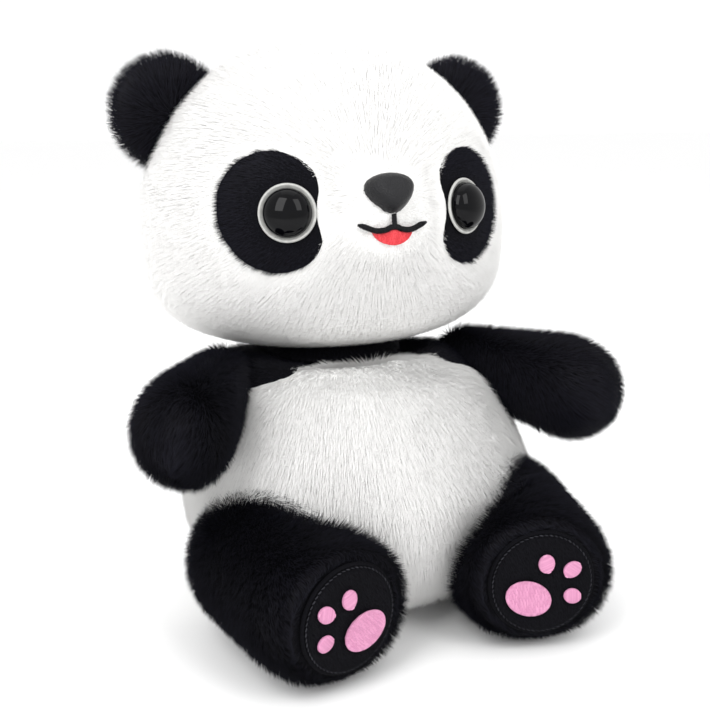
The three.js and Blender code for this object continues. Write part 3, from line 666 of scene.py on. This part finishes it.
for (side, _), seed in zip(sides, (25, 26)):
    patch = panel(f"{side}_eye_patch_cover", head_skin, patch_side[side], 0.0006, 0.0014, black_backing)
    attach(patch, "head")
    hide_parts(f"{side}_eye_patch")
    pile(f"{side}_eye_patch_pile", head_skin, "head", black_pile,
         np.minimum(patch_side[side], clear), 4.0, 0.0052, 0.00027, 38, seed,
         sway=0.2, stray=0.08, tuft_pull=0.1)


# ---------------------------------------------------------------- Ears
# Each ear is two round black panels, lightly stuffed and sewn into the seam over the crown.

ear_cell = 0.0026
ear_pile = 0.0062
ear_weave = 0.0022

for (side, sign), seed in zip(sides, (31, 32)):
    front, rear = f"{side}_ear_front_panel", f"{side}_ear_back_panel"
    hub = Vector(hinges[f"{side}_ear_flop"]["pos_m"])
    ear_radius = from_joint(corners(frame["nodes"][front].data), f"{side}_ear_flop").max() - 0.001
    half_deep = 0.5 * (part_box(rear)[1].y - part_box(front)[0].y)
    ear = skin_of(f"{side}_ear_cover", [front, rear, f"{side}_ear_stuffing"], ear_cell, 14,
                  [(hub, (ear_radius, half_deep, ear_radius))])
    surface = corners(ear.data)
    put(ear.data, surface - ear_weave * upright(ear.data))
    dressed(ear, black_backing)
    brushed(ear.data, outward(surface, np.array(hub)) + np.array([0.2 * sign, 0.1, 0.15]))
    noted(ear.data, "trim", np.ones(len(surface)))
    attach(ear, f"{side}_ear")
    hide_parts(front, rear, f"{side}_ear_stuffing")
    shown = ~stays_inside(surface, head_skin, f"{side}_ear_flop")
    pile(f"{side}_ear_pile", ear, f"{side}_ear", black_pile, shown - full_cover, 3.2,
         ear_pile, 0.00028, 42, seed)


# ---------------------------------------------------------------- Eyes
# A glossy black dome sits on a flat pale ring. Its shank goes through the patch to a washer.

lens_seat = 0.0002  # the dome stands this far off its ring
ring_band = 0.0011  # the raised part of the ring that shows round the dome
ring_lip = 0.0012  # and the flat part inside it


def lofted(name, hoops):
    """A closed skin through hoops of points. A hoop may be one point, and the last may be the first."""
    work = bmesh.new()
    rings = [[work.verts.new(place) for place in hoop] for hoop in hoops[:-1]]
    closed = hoops[-1] is hoops[0]
    rings.append(rings[0] if closed else [work.verts.new(place) for place in hoops[-1]])
    around = max(len(ring) for ring in rings)
    for below, above in zip(rings, rings[1:]):
        for k in range(around):
            n = (k + 1) % around
            low_pair = (below[k % len(below)], below[n % len(below)])
            high_pair = (above[n % len(above)], above[k % len(above)])
            work.faces.new(list(dict.fromkeys(low_pair + high_pair)))
    bmesh.ops.recalc_face_normals(work, faces=work.faces)
    mesh = bpy.data.meshes.new(name)
    work.to_mesh(mesh)
    work.free()
    smoothed(mesh)
    return mesh


def turned(name, profile, around, matrix, finish):
    """A turned solid from (radius, height) points, stood on a frame."""
    turns = np.linspace(0, 2 * math.pi, around, endpoint=False)
    hoops = [
        [(radius * math.cos(a), radius * math.sin(a), height) for a in turns] if radius else [(0, 0, height)]
        for radius, height in profile
    ]
    if profile[-1] == profile[0]:
        hoops[-1] = hoops[0]
    mesh = lofted(name, hoops)
    mesh.transform(matrix)
    mesh.materials.append(finish)
    return linked(name, mesh)


def flat_frame(node, facing=Vector((0, -1, 0))):
    """A frame on a flat round node: origin at its middle, +Z out, +X level."""
    places = corners(frame["nodes"][node].data)
    middle = places.mean(axis=0)
    axes = np.linalg.svd(places - middle, full_matrices=False)[2]
    out = Vector(axes[2])
    if out.dot(facing) < 0:
        out = -out
    level = Vector((0, 0, 1)).cross(out).normalized()
    upwards = out.cross(level)
    rotation = Matrix((level, upwards, out)).transposed().to_4x4()
    return Matrix.Translation(middle) @ rotation


def measured(node, seat):
    """A CAD node's corners, measured along the axes of a frame."""
    places = corners(frame["nodes"][node].data)
    return (np.c_[places, np.ones(len(places))] @ np.array(seat.inverted()).T)[:, :3]


def reach_round(places):
    """How far places reach from a frame's +Z axis."""
    return np.hypot(places[:, 0], places[:, 1]).max()


eye_black, shader, start, place = blank("eye plastic", Specular_IOR_Level=0.16)
haze = start.noise(place, 300.0, 4.0).out("Fac")
plugged(shader, Base_Color=colours(start, haze, (0.0005, 0.0005, 0.0008), (0.002, 0.002, 0.003)),
        Roughness=haze * 0.06 + 0.02)

ring_white, shader, start, place = blank("eye ring plastic", Roughness=0.35)
haze = start.noise(place, 500.0, 4.0).out("Fac")
plugged(shader, Base_Color=colours(start, haze, (0.30, 0.30, 0.29), (0.62, 0.62, 0.59)),
        Normal=start.bump(0.3, 0.0003, haze))

for side, _ in sides:
    seat = flat_frame(f"{side}_eye_ring")
    ring_places = measured(f"{side}_eye_ring", seat)
    dome_places = measured(f"{side}_eye_dome", seat)
    rim, half = reach_round(ring_places), ring_places[:, 2].max()
    across, crown = reach_round(dome_places), dome_places[:, 2].max()
    foot = half + lens_seat
    dome = [(0, foot - 0.0004), (across * 0.98, foot - 0.0004)]
    dome += [
        (across * math.cos(a) ** 0.92, foot + (crown - foot) * math.sin(a))
        for a in np.linspace(0, math.pi / 2, 28)
    ]
    dome[-1] = (0, crown)
    eye = turned(f"{side}_eye_button", dome, 72, seat, eye_black)
    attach(eye, "head")
    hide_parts(f"{side}_eye_dome")
    inner = rim - ring_band
    ring = [
        (inner - ring_lip, -half),
        (rim - 0.0004, -half),
        (rim, -0.2 * half),
        (rim - 0.0003, 0.7 * half),
        (rim - 0.5 * ring_band, half),
        (inner, 0.7 * half),
        (inner - 0.0002, 0.1 * half),
        (inner - ring_lip, 0.0),
        (inner - ring_lip, -half),
    ]
    eye_ring = turned(f"{side}_eye_rim", ring, 72, seat, ring_white)
    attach(eye_ring, "head")
    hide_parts(f"{side}_eye_ring")
    well_radius = inner - 0.75 * ring_lip
    well_profile = [(0, -half), (well_radius, -half), (well_radius, lens_seat), (0, lens_seat)]
    well = turned(f"{side}_eye_well", well_profile, 48, seat, eye_black)
    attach(well, "head")


# ---------------------------------------------------------------- Nose
# A moulded rounded triangle, wide at the top, with a fine leather grain. It has a shank too.

nose_black, shader, start, place = blank("nose plastic", Specular_IOR_Level=0.3)
grain = start.node("ShaderNodeTexVoronoi", {"feature": "F1"}, {"Vector": place, "Scale": 1700.0})
fine = start.noise(place, 2600.0, 3.0).out("Fac")
plugged(shader, Base_Color=colours(start, fine, (0.002, 0.002, 0.003), (0.008, 0.008, 0.010)),
        Roughness=fine * 0.25 + 0.26, Normal=start.bump(0.55, 0.0004, grain.out("Distance") + fine * 0.6))

nose = skin_of("nose_button", ["nose"], 0.0006, 10)
dressed(nose, nose_black)
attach(nose, "head")
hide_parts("nose")


# ---------------------------------------------------------------- Mouth and tongue
# The smile is a row of black satin stitch, and the tongue is filled with coral red thread.


def thread_mesh():
    """One stitch, a unit long along X: a rounded run of thread that dips at both ends."""
    sunk = -0.4
    turns = np.linspace(0, 2 * math.pi, 6, endpoint=False)
    hoops = [[(-0.5, 0, sunk)]]
    for x, bulge in ((-0.42, 0.72), (-0.2, 1.0), (0.2, 1.0), (0.42, 0.72)):
        dip = sunk * (1 - bulge)
        hoops.append([(x, 0.5 * bulge * math.cos(a), bulge * 0.5 * math.sin(a) + dip) for a in turns])
    return lofted("thread", [*hoops, [(0.5, 0, sunk)]])


thread = bpy.data.objects.new("thread", thread_mesh())


def stitch_tree():
    """Geometry nodes that lay one stitch at each point, along its run and facing out."""
    tree, start = new_tree("stitches", "Needle holes", ("Width", "Height"), "Thread", "Stitches")
    asked = start.out
    run = start.read("run")
    turn = start.faced("X", run)
    turn = start.faced("Z", start.read("out"), "X", turn)
    uneven = start.node(
        "FunctionNodeRandomValue",
        {"data_type": "FLOAT"},
        {"Min_001": 0.85, "Max_001": 1.15, "Seed": asked("Seed")},
    ).out("Value_001")
    length = start.vector("LENGTH", run).out("Value")
    sizes = {"X": length, "Y": asked("Width") * uneven, "Z": asked("Height") * uneven}
    size = start.node("ShaderNodeCombineXYZ", None, sizes)
    points = asked("Needle holes").stored("tone", "FLOAT", uneven * 3.33 - 2.83)
    repeated(start, points, "Thread", turn, size, "Stitches")
    return tree


stitch_nodes = stitch_tree()


def stitched(name, middles, runs, outs, width, height, finish, body, slot, seed):
    """Stitches at their middles, each with its run and the way it faces, as one plain mesh."""
    mesh = bpy.data.meshes.new(name)
    mesh.from_pydata([tuple(m) for m in middles], [], [])
    noted(mesh, "run", np.array(runs))
    noted(mesh, "out", np.array(outs))
    made = linked(name, mesh)
    sew = made.modifiers.new("stitches", "NODES")
    sew.node_group = stitch_nodes
    answered(sew, {"Width": width, "Height": height, "Seed": seed, "Thread": thread, "Finish": finish})
    baked(made)
    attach(made, body)
    return made


def thread_finish(name, deep, bright, roughness):
    """Shiny embroidery thread: every stitch has its own tone, and a fine ply runs over it."""
    made, shader, start, place = blank(name, Roughness=roughness, Specular_IOR_Level=0.15)
    tone = start.node("ShaderNodeAttribute", {"attribute_name": "tone"}).out("Fac")
    ply = start.noise(place, 2500.0, 2.0).out("Fac")
    plugged(shader, Base_Color=colours(start, tone * 0.5 + ply * 0.5, deep, bright),
            Normal=start.bump(0.4, 0.0002, ply))
    return made


black_thread = thread_finish("black thread", (0.002, 0.002, 0.0025), (0.008, 0.008, 0.010), 0.5)
red_thread = thread_finish("coral thread", (0.52, 0.035, 0.045), (0.80, 0.085, 0.10), 0.5)

mouth = corners(frame["nodes"]["mouth_stitching"].data)
face_out = flat_frame("mouth_stitching").col[2].to_3d()
low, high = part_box("mouth_stitching")
smile_steps = 56
smile_stitch = 0.0025
line_step = 0.00045

smile_line = []
for k in range(smile_steps + 1):
    x = low.x + (high.x - low.x) * (0.02 + 0.96 * k / smile_steps)
    near = mouth[(np.abs(mouth[:, 0] - x) < 0.0022) & (mouth[:, 2] < high.z - 0.0035)]
    weight = np.exp(-(((near[:, 0] - x) / 0.0012) ** 2))[:, None]
    centre = (near * weight).sum(axis=0) / weight.sum()
    smile_line.append(np.array([x, centre[1], centre[2]]))
middles, runs, outs = [], [], []
for k, spot in enumerate(smile_line):
    before, after = smile_line[max(k - 1, 0)], smile_line[min(k + 1, smile_steps)]
    way = (after - before) / np.linalg.norm(after - before)
    over = np.cross(way, np.array(face_out))
    over /= np.linalg.norm(over)
    taper = min(1.0, 0.45 + 0.16 * min(k, smile_steps - k))
    middles.append(spot - 0.0002 * np.array(face_out))
    runs.append((over + 0.25 * way) * smile_stitch * taper)
    outs.append(face_out)
centre_line = mouth[np.abs(mouth[:, 0]) < 0.0012]
for z in np.arange(smile_line[smile_steps // 2][2], high.z, line_step):
    close = centre_line[np.abs(centre_line[:, 2] - z) < 0.0016]
    if len(close):
        middles.append((0, close[:, 1].mean(), z))
        runs.append((0.0022, 0, 0.0003))
        outs.append(face_out)
smile = stitched("mouth_stitches", middles, runs, outs, 0.0008, 0.0015, black_thread, "head",
                 "black_thread", 41)
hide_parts("mouth_stitching")

tongue = frame["nodes"]["tongue_embroidery"]
low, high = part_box("tongue_embroidery")
tongue_out = flat_frame("tongue_embroidery").col[2].to_3d()
tongue.data.materials.clear()
tongue.data.materials.append(red_thread)
tongue_tree = tree_of(tongue.data)
tongue_rows = 38
tongue_stitch = 0.0021
shortest_stitch = 0.0004

middles, runs, outs = [], [], []
for k in range(tongue_rows + 1):
    x = low.x + (high.x - low.x) * (0.012 + 0.976 * k / tongue_rows)
    column = [Vector((x, low.y - 0.02, z)) for z in np.arange(low.z, high.z, 0.0002)]
    found = [tongue_tree.ray_cast(place, Vector((0, 1, 0)))[0] for place in column]
    found = [hit for hit in found if hit is not None]
    if len(found) < 3:
        continue
    count = max(1, round((found[-1].z - found[0].z) / tongue_stitch))
    cuts = np.linspace(0, len(found) - 1, count + 1)
    shift = 0.0 if k % 2 == 0 or count == 1 else 0.5 * (cuts[1] - cuts[0])
    for one, other in zip(cuts, cuts[1:]):
        a = found[int(max(0, one - shift))]
        b = found[int(max(0, other - shift))] if other < cuts[-1] else found[-1]
        if (b - a).length >= shortest_stitch:
            middles.append((a + b) / 2 - tongue_out * 0.0001)
            runs.append((b - a) * 1.12)
            outs.append(tongue_out)
stitched("tongue_stitches", middles, runs, outs, 0.00062, 0.0007, red_thread, "head", "red_thread", 42)


# ---------------------------------------------------------------- Arms
# Each arm is a black plush tube with a round paw, stuffed and sewn to the yoke at the shoulder.

limb_cell = 0.003
arm_pile = 0.0066
arm_weave = 0.003
arm_root = 0.0163
inner_draw = 0.26  # the side towards the belly is pulled in by this share by its seam

for (side, sign), seed in zip(sides, (51, 52)):
    hub = np.array(hinges[f"{side}_arm_raise"]["pos_m"])
    places = corners(frame["nodes"][f"{side}_arm_cover"].data)
    farthest = np.argsort(from_joint(places, f"{side}_arm_raise"))[-40:]
    far = places[farthest].mean(axis=0)
    along = (far - hub) / np.linalg.norm(far - hub)
    past = (places - hub) @ along
    girth = np.linalg.norm(places - hub - past[:, None] * along, axis=1)
    paw = girth[past > 0.5 * past.max()].max()
    filling = [
        (hub + along * t * (past.max() - paw), (arm_root + t * (paw - arm_root),) * 3)
        for t in np.linspace(0, 0.9, 10)
    ]
    arm_nodes = [f"{side}_arm_cover", f"{side}_arm_stuffing"]
    arm = skin_of(f"{side}_arm_cover_cloth", arm_nodes, limb_cell, 18, filling)
    put(arm.data, corners(arm.data) - arm_weave * upright(arm.data))
    dressed(arm, black_backing)
    inward = np.cross(along, (0, 0, sign))
    inward /= np.linalg.norm(inward)
    places = corners(arm.data)
    over = np.maximum((places - hub) @ inward, 0)
    put(arm.data, places - inner_draw * over[:, None] * inward)
    surface = corners(arm.data)
    core = hub + 0.6 * (far - hub)
    brushed(arm.data, 0.7 * along + 0.5 * outward(surface, core) + np.array([0, 0, -0.3]))
    noted(arm.data, "trim", np.ones(len(surface)))
    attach(arm, f"{side}_arm")
    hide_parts(f"{side}_arm_cover", f"{side}_arm_stuffing")
    shown = ~stays_inside(surface, torso_skin, f"{side}_arm_raise")
    pile(f"{side}_arm_pile", arm, f"{side}_arm", black_pile, shown - full_cover, 3.2,
         arm_pile, 0.00029, 46, seed)


# ---------------------------------------------------------------- Legs
# Each leg is a thick black plush tube, sewn to the body low at the side, and closed by a flat sole.

leg_pile = 0.0066
leg_weave = 0.0026
leg_root = 0.0335
seam_depth = 0.0006  # beside the sole's seam the cloth is clipped nearly bare
off_floor = 0.0012
sole_seats = {side: flat_frame(f"{side}_sole_patch") for side, _ in sides}

for (side, _), seed in zip(sides, (61, 62)):
    hub = np.array(hinges[f"{side}_leg_raise"]["pos_m"])
    sole_mid = np.array(sole_seats[side].translation)
    sole_out = np.array(sole_seats[side].col[2].to_3d())
    leg_nodes = [f"{side}_leg_cover", f"{side}_leg_stuffing"]
    leg = skin_of(f"{side}_leg_cover_cloth", leg_nodes, limb_cell, 18,
                  [(hub, (leg_root * 1.1, leg_root, leg_root))])
    surface = corners(leg.data)
    offset = surface - sole_mid
    height = offset @ sole_out
    radial = np.linalg.norm(offset - height[:, None] * sole_out, axis=1)
    sole_edge = reach_round(measured(f"{side}_sole_seam", sole_seats[side]))
    on_sole = (radial < sole_edge) & (height > -0.006)
    from_seam = np.hypot(np.maximum(radial - sole_edge, 0), np.minimum(height + 0.002, 0))
    past_seam = eased(from_seam, 0.0, 0.012)
    depth = np.where(on_sole, 0.0003, seam_depth + (leg_weave - seam_depth) * past_seam)
    lifted = surface - depth[:, None] * upright(leg.data)
    lifted[:, 2] = np.maximum(lifted[:, 2], off_floor)
    put(leg.data, lifted)
    dressed(leg, black_backing)
    along = (sole_mid - hub) / np.linalg.norm(sole_mid - hub)
    core = hub + 0.5 * (sole_mid - hub)
    brushed(leg.data, 0.75 * along + 0.55 * outward(surface, core))
    noted(leg.data, "trim", (0.45 + 0.55 * past_seam) * pressed(lifted[:, 2]))
    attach(leg, f"{side}_leg")
    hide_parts(f"{side}_leg_cover", f"{side}_leg_stuffing")
    shown = ~on_sole & (surface[:, 2] > 0.0015)
    shown &= ~stays_inside(surface, torso_skin, f"{side}_leg_raise")
    pile(f"{side}_leg_pile", leg, f"{side}_leg", black_pile, shown - full_cover, 3.0,
         leg_pile, 0.00029, 46, seed)


# ---------------------------------------------------------------- Soles and paw prints
# A disc of short black pile closes each foot. The paw print on it is filled with pink thread.

# painted shade: the short sole pile is darker towards its roots as well
short_finish = pile_finish("short black pile", black_root_shade, (0.006, 0.006, 0.009), 0.7, 0.9)
pink_thread = thread_finish("pink thread", (0.54, 0.22, 0.37), (0.76, 0.38, 0.56), 0.5)
grey_thread = thread_finish("dark grey thread", (0.012, 0.012, 0.016), (0.035, 0.035, 0.042), 0.7)
pad_names = ("heel_pad", "inner_toe_pad", "middle_toe_pad", "outer_toe_pad")
seam_stitches = 62
hem_stitches = 92
row_step = 0.00046
row_slant = math.radians(24)
heel_stitch = 0.0034
shortest_row = 0.0008


def row_ends(ways, half, step_way, run_way, shift):
    """Where a row of thread enters and leaves an oval pad, or None past its edge."""
    start_at, run = ways @ (step_way * shift) / half, ways @ run_way / half
    square, middle_term, rest = run @ run, 2 * start_at @ run, start_at @ start_at - 1
    inside = middle_term**2 - 4 * square * rest
    if inside <= 0:
        return None
    spread = math.sqrt(inside)
    return (-middle_term - spread) / (2 * square), (-middle_term + spread) / (2 * square)


def pad_stitches(pad, seat):
    """Slanting rows of thread over an oval pad, and a raised hem of short ones round a heel pad."""
    local = measured(pad, seat)
    centre = 0.5 * (local.max(axis=0) + local.min(axis=0))
    flat = local[:, :2] - centre[:2]
    ways = np.linalg.svd(flat, full_matrices=False)[2]
    half = np.abs(flat @ ways.T).max(axis=0)
    top = local[:, 2].max()
    c, s = math.cos(row_slant), math.sin(row_slant)
    slanted = np.array([[c, -s], [s, c]])
    step_way, run_way = slanted @ ways[0], slanted @ ways[1]
    turn, out = seat.to_3x3(), seat.col[2].to_3d()
    heel = pad.endswith("heel_pad")
    sewn = []
    rows = int(half[0] / row_step)
    for k in range(-rows, rows + 1):
        ends = row_ends(ways, half, step_way, run_way, k * row_step)
        if ends is None or ends[1] - ends[0] < shortest_row:
            continue
        pieces = max(1, round((ends[1] - ends[0]) / heel_stitch)) if heel else 1
        marks = np.linspace(*ends, pieces + 1)
        marks[1:-1] += 0.0011 * (k % 3 - 1)
        for one, other in zip(marks, marks[1:]):
            spot = centre[:2] + step_way * k * row_step + run_way * 0.5 * (one + other)
            run = run_way * (other - one) * 1.04
            sewn.append((seat @ Vector((*spot, top - 0.00005)), turn @ Vector((*run, 0)), out))
    for k in range(hem_stitches if heel else 0):
        angle = 2 * math.pi * k / hem_stitches
        round_way = np.array([math.cos(angle), math.sin(angle)])
        spot = centre[:2] + (0.95 * half * round_way) @ ways
        inward = (round_way / half) @ ways
        run = 0.0015 * inward / np.linalg.norm(inward)
        sewn.append((seat @ Vector((*spot, top + 0.00012)), turn @ Vector((*run, 0)), out))
    return zip(*sewn)


for (side, _), seed in zip(sides, (71, 72)):
    seat = sole_seats[side]
    local = measured(f"{side}_sole_patch", seat)
    radius = reach_round(local)
    thick = local[:, 2].max() - local[:, 2].min()
    profile = [(0, -0.5 * thick), (radius, -0.5 * thick), (radius, 0.1 * thick)]
    profile += [
        (radius - 0.0009 * (1 - math.cos(a)), 0.1 * thick + 0.4 * thick * math.sin(a))
        for a in np.linspace(0.2, math.pi / 2, 6)
    ]
    profile += [(r, 0.5 * thick) for r in np.linspace(radius - 0.0012, 0, 14)]
    sole = turned(f"{side}_sole_cover", profile, 64, seat, black_backing)
    surface = corners(sole.data)
    nap = np.array(seat.to_3x3() @ Vector((0.5, -1, 0)))
    brushed(sole.data, np.tile(nap, (len(surface), 1)))
    noted(sole.data, "trim", np.ones(len(surface)))
    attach(sole, f"{side}_leg")
    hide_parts(f"{side}_sole_patch")
    front = upright(sole.data) @ np.array(seat.col[2].to_3d()) > 0.5
    under_print = distances([f"{side}_{pad}" for pad in pad_names], surface) < 0.0009
    pile(f"{side}_sole_pile", sole, f"{side}_leg", short_finish,
         (front & ~under_print) - full_cover, 6.0, 0.0016, 0.0003, 55, seed, tuft_pull=0.05, tuft_size=0.002)

    seam_ring = [
        (radius + 0.0003, -0.5 * thick + 0.0004),
        (radius + 0.0019, -0.5 * thick + 0.0004),
        (radius + 0.0016, -0.05 * thick),
        (radius + 0.0008, 0.2 * thick),
        (radius + 0.0003, 0.1 * thick),
        (radius + 0.0003, -0.5 * thick + 0.0004),
    ]
    seam_cord = turned(f"{side}_sole_seam_cord", seam_ring, 64, seat, black_backing)
    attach(seam_cord, f"{side}_leg")
    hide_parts(f"{side}_sole_seam")
    sewn = []
    for angle in np.linspace(0, 2 * math.pi, seam_stitches, endpoint=False):
        c, s = math.cos(angle), math.sin(angle)
        run = seat.to_3x3() @ (Vector((-s, c, 0)) + 0.25 * Vector((c, s, 0))) * 0.0017
        middle = seat @ Vector(((radius + 0.0002) * c, (radius + 0.0002) * s, 0.42 * thick))
        sewn.append((middle, run, seat.col[2].to_3d()))
    stitched(f"{side}_sole_stitches", *zip(*sewn), 0.0005, 0.0006, grey_thread, f"{side}_leg",
             "black_thread", 73)
    for pad in pad_names:
        node = frame["nodes"][f"{side}_{pad}"]
        node.data.materials.clear()
        node.data.materials.append(pink_thread)
        stitched(f"{side}_{pad}_stitches", *pad_stitches(f"{side}_{pad}", seat), 0.00058, 0.0007,
                 pink_thread, f"{side}_leg", "pink_thread", 74)


# ---------------------------------------------------------------- Floor, light and camera
# A pale paper sweep under broad soft light, seen from a little above and to the panda's right.

paper, shader, start, place = blank("paper sweep", Roughness=0.9)
tooth = start.noise(place, 60.0, 3.0).out("Fac")
plugged(shader, Base_Color=colours(start, tooth, (0.99, 0.99, 0.99), (1.0, 1.0, 1.0)))
half_side, below = 6.0, -0.0004
floor = bpy.data.meshes.new("floor")
square = ((-1, -1), (1, -1), (1, 1), (-1, 1))
floor.from_pydata([(x * half_side, y * half_side, below) for x, y in square], [], [(0, 1, 2, 3)])
floor.materials.append(paper)
linked("floor", floor)

world = bpy.data.worlds.new("studio")
bpy.context.scene.world = world
world.use_nodes = True
backdrop = world.node_tree.nodes["Background"]
backdrop.inputs["Color"].default_value = (1, 1, 1, 1)
seen = Wire(world.node_tree).node("ShaderNodeLightPath").out("Is Camera Ray")
plugged(backdrop, Strength=seen * 0.1 + 1.0)

toy_middle = Vector((0, -0.015, 0.12))
for name, azimuth, elevation, distance, size, power in (
    ("left softbox", -52, 36, 1.0, 0.45, 4.8),
    ("right softbox", 14, 36, 1.0, 0.4, 2.9),
    ("overhead", 150, 70, 1.2, 0.9, 2.0),
):
    a, e = math.radians(azimuth), math.radians(elevation)
    back = Vector((math.sin(a) * math.cos(e), -math.cos(a) * math.cos(e), math.sin(e)))
    lamp = bpy.data.lights.new(name, "AREA")
    lamp.shape, lamp.size, lamp.size_y, lamp.energy = "RECTANGLE", size, 1.7 * size, power
    placed = bpy.data.objects.new(name, lamp)
    placed.location = toy_middle + back * distance
    placed.rotation_euler = (-back).to_track_quat("-Z", "Y").to_euler()
    bpy.context.scene.collection.objects.link(placed)

stand_at = Vector((-0.19528, -0.48333, 0.22068))
look_at = Vector((0.0077, -0.0079, 0.1046))
lens = bpy.data.cameras.new("camera")
lens.lens, lens.sensor_width = 57.8, 36
camera = bpy.data.objects.new("camera", lens)
bpy.context.scene.collection.objects.link(camera)
camera.location = stand_at
camera.rotation_euler = (look_at - stand_at).to_track_quat("-Z", "Y").to_euler()
bpy.context.scene.camera = camera
bpy.context.scene.view_settings.view_transform = "Standard"
bpy.context.scene.view_settings.look = "None"
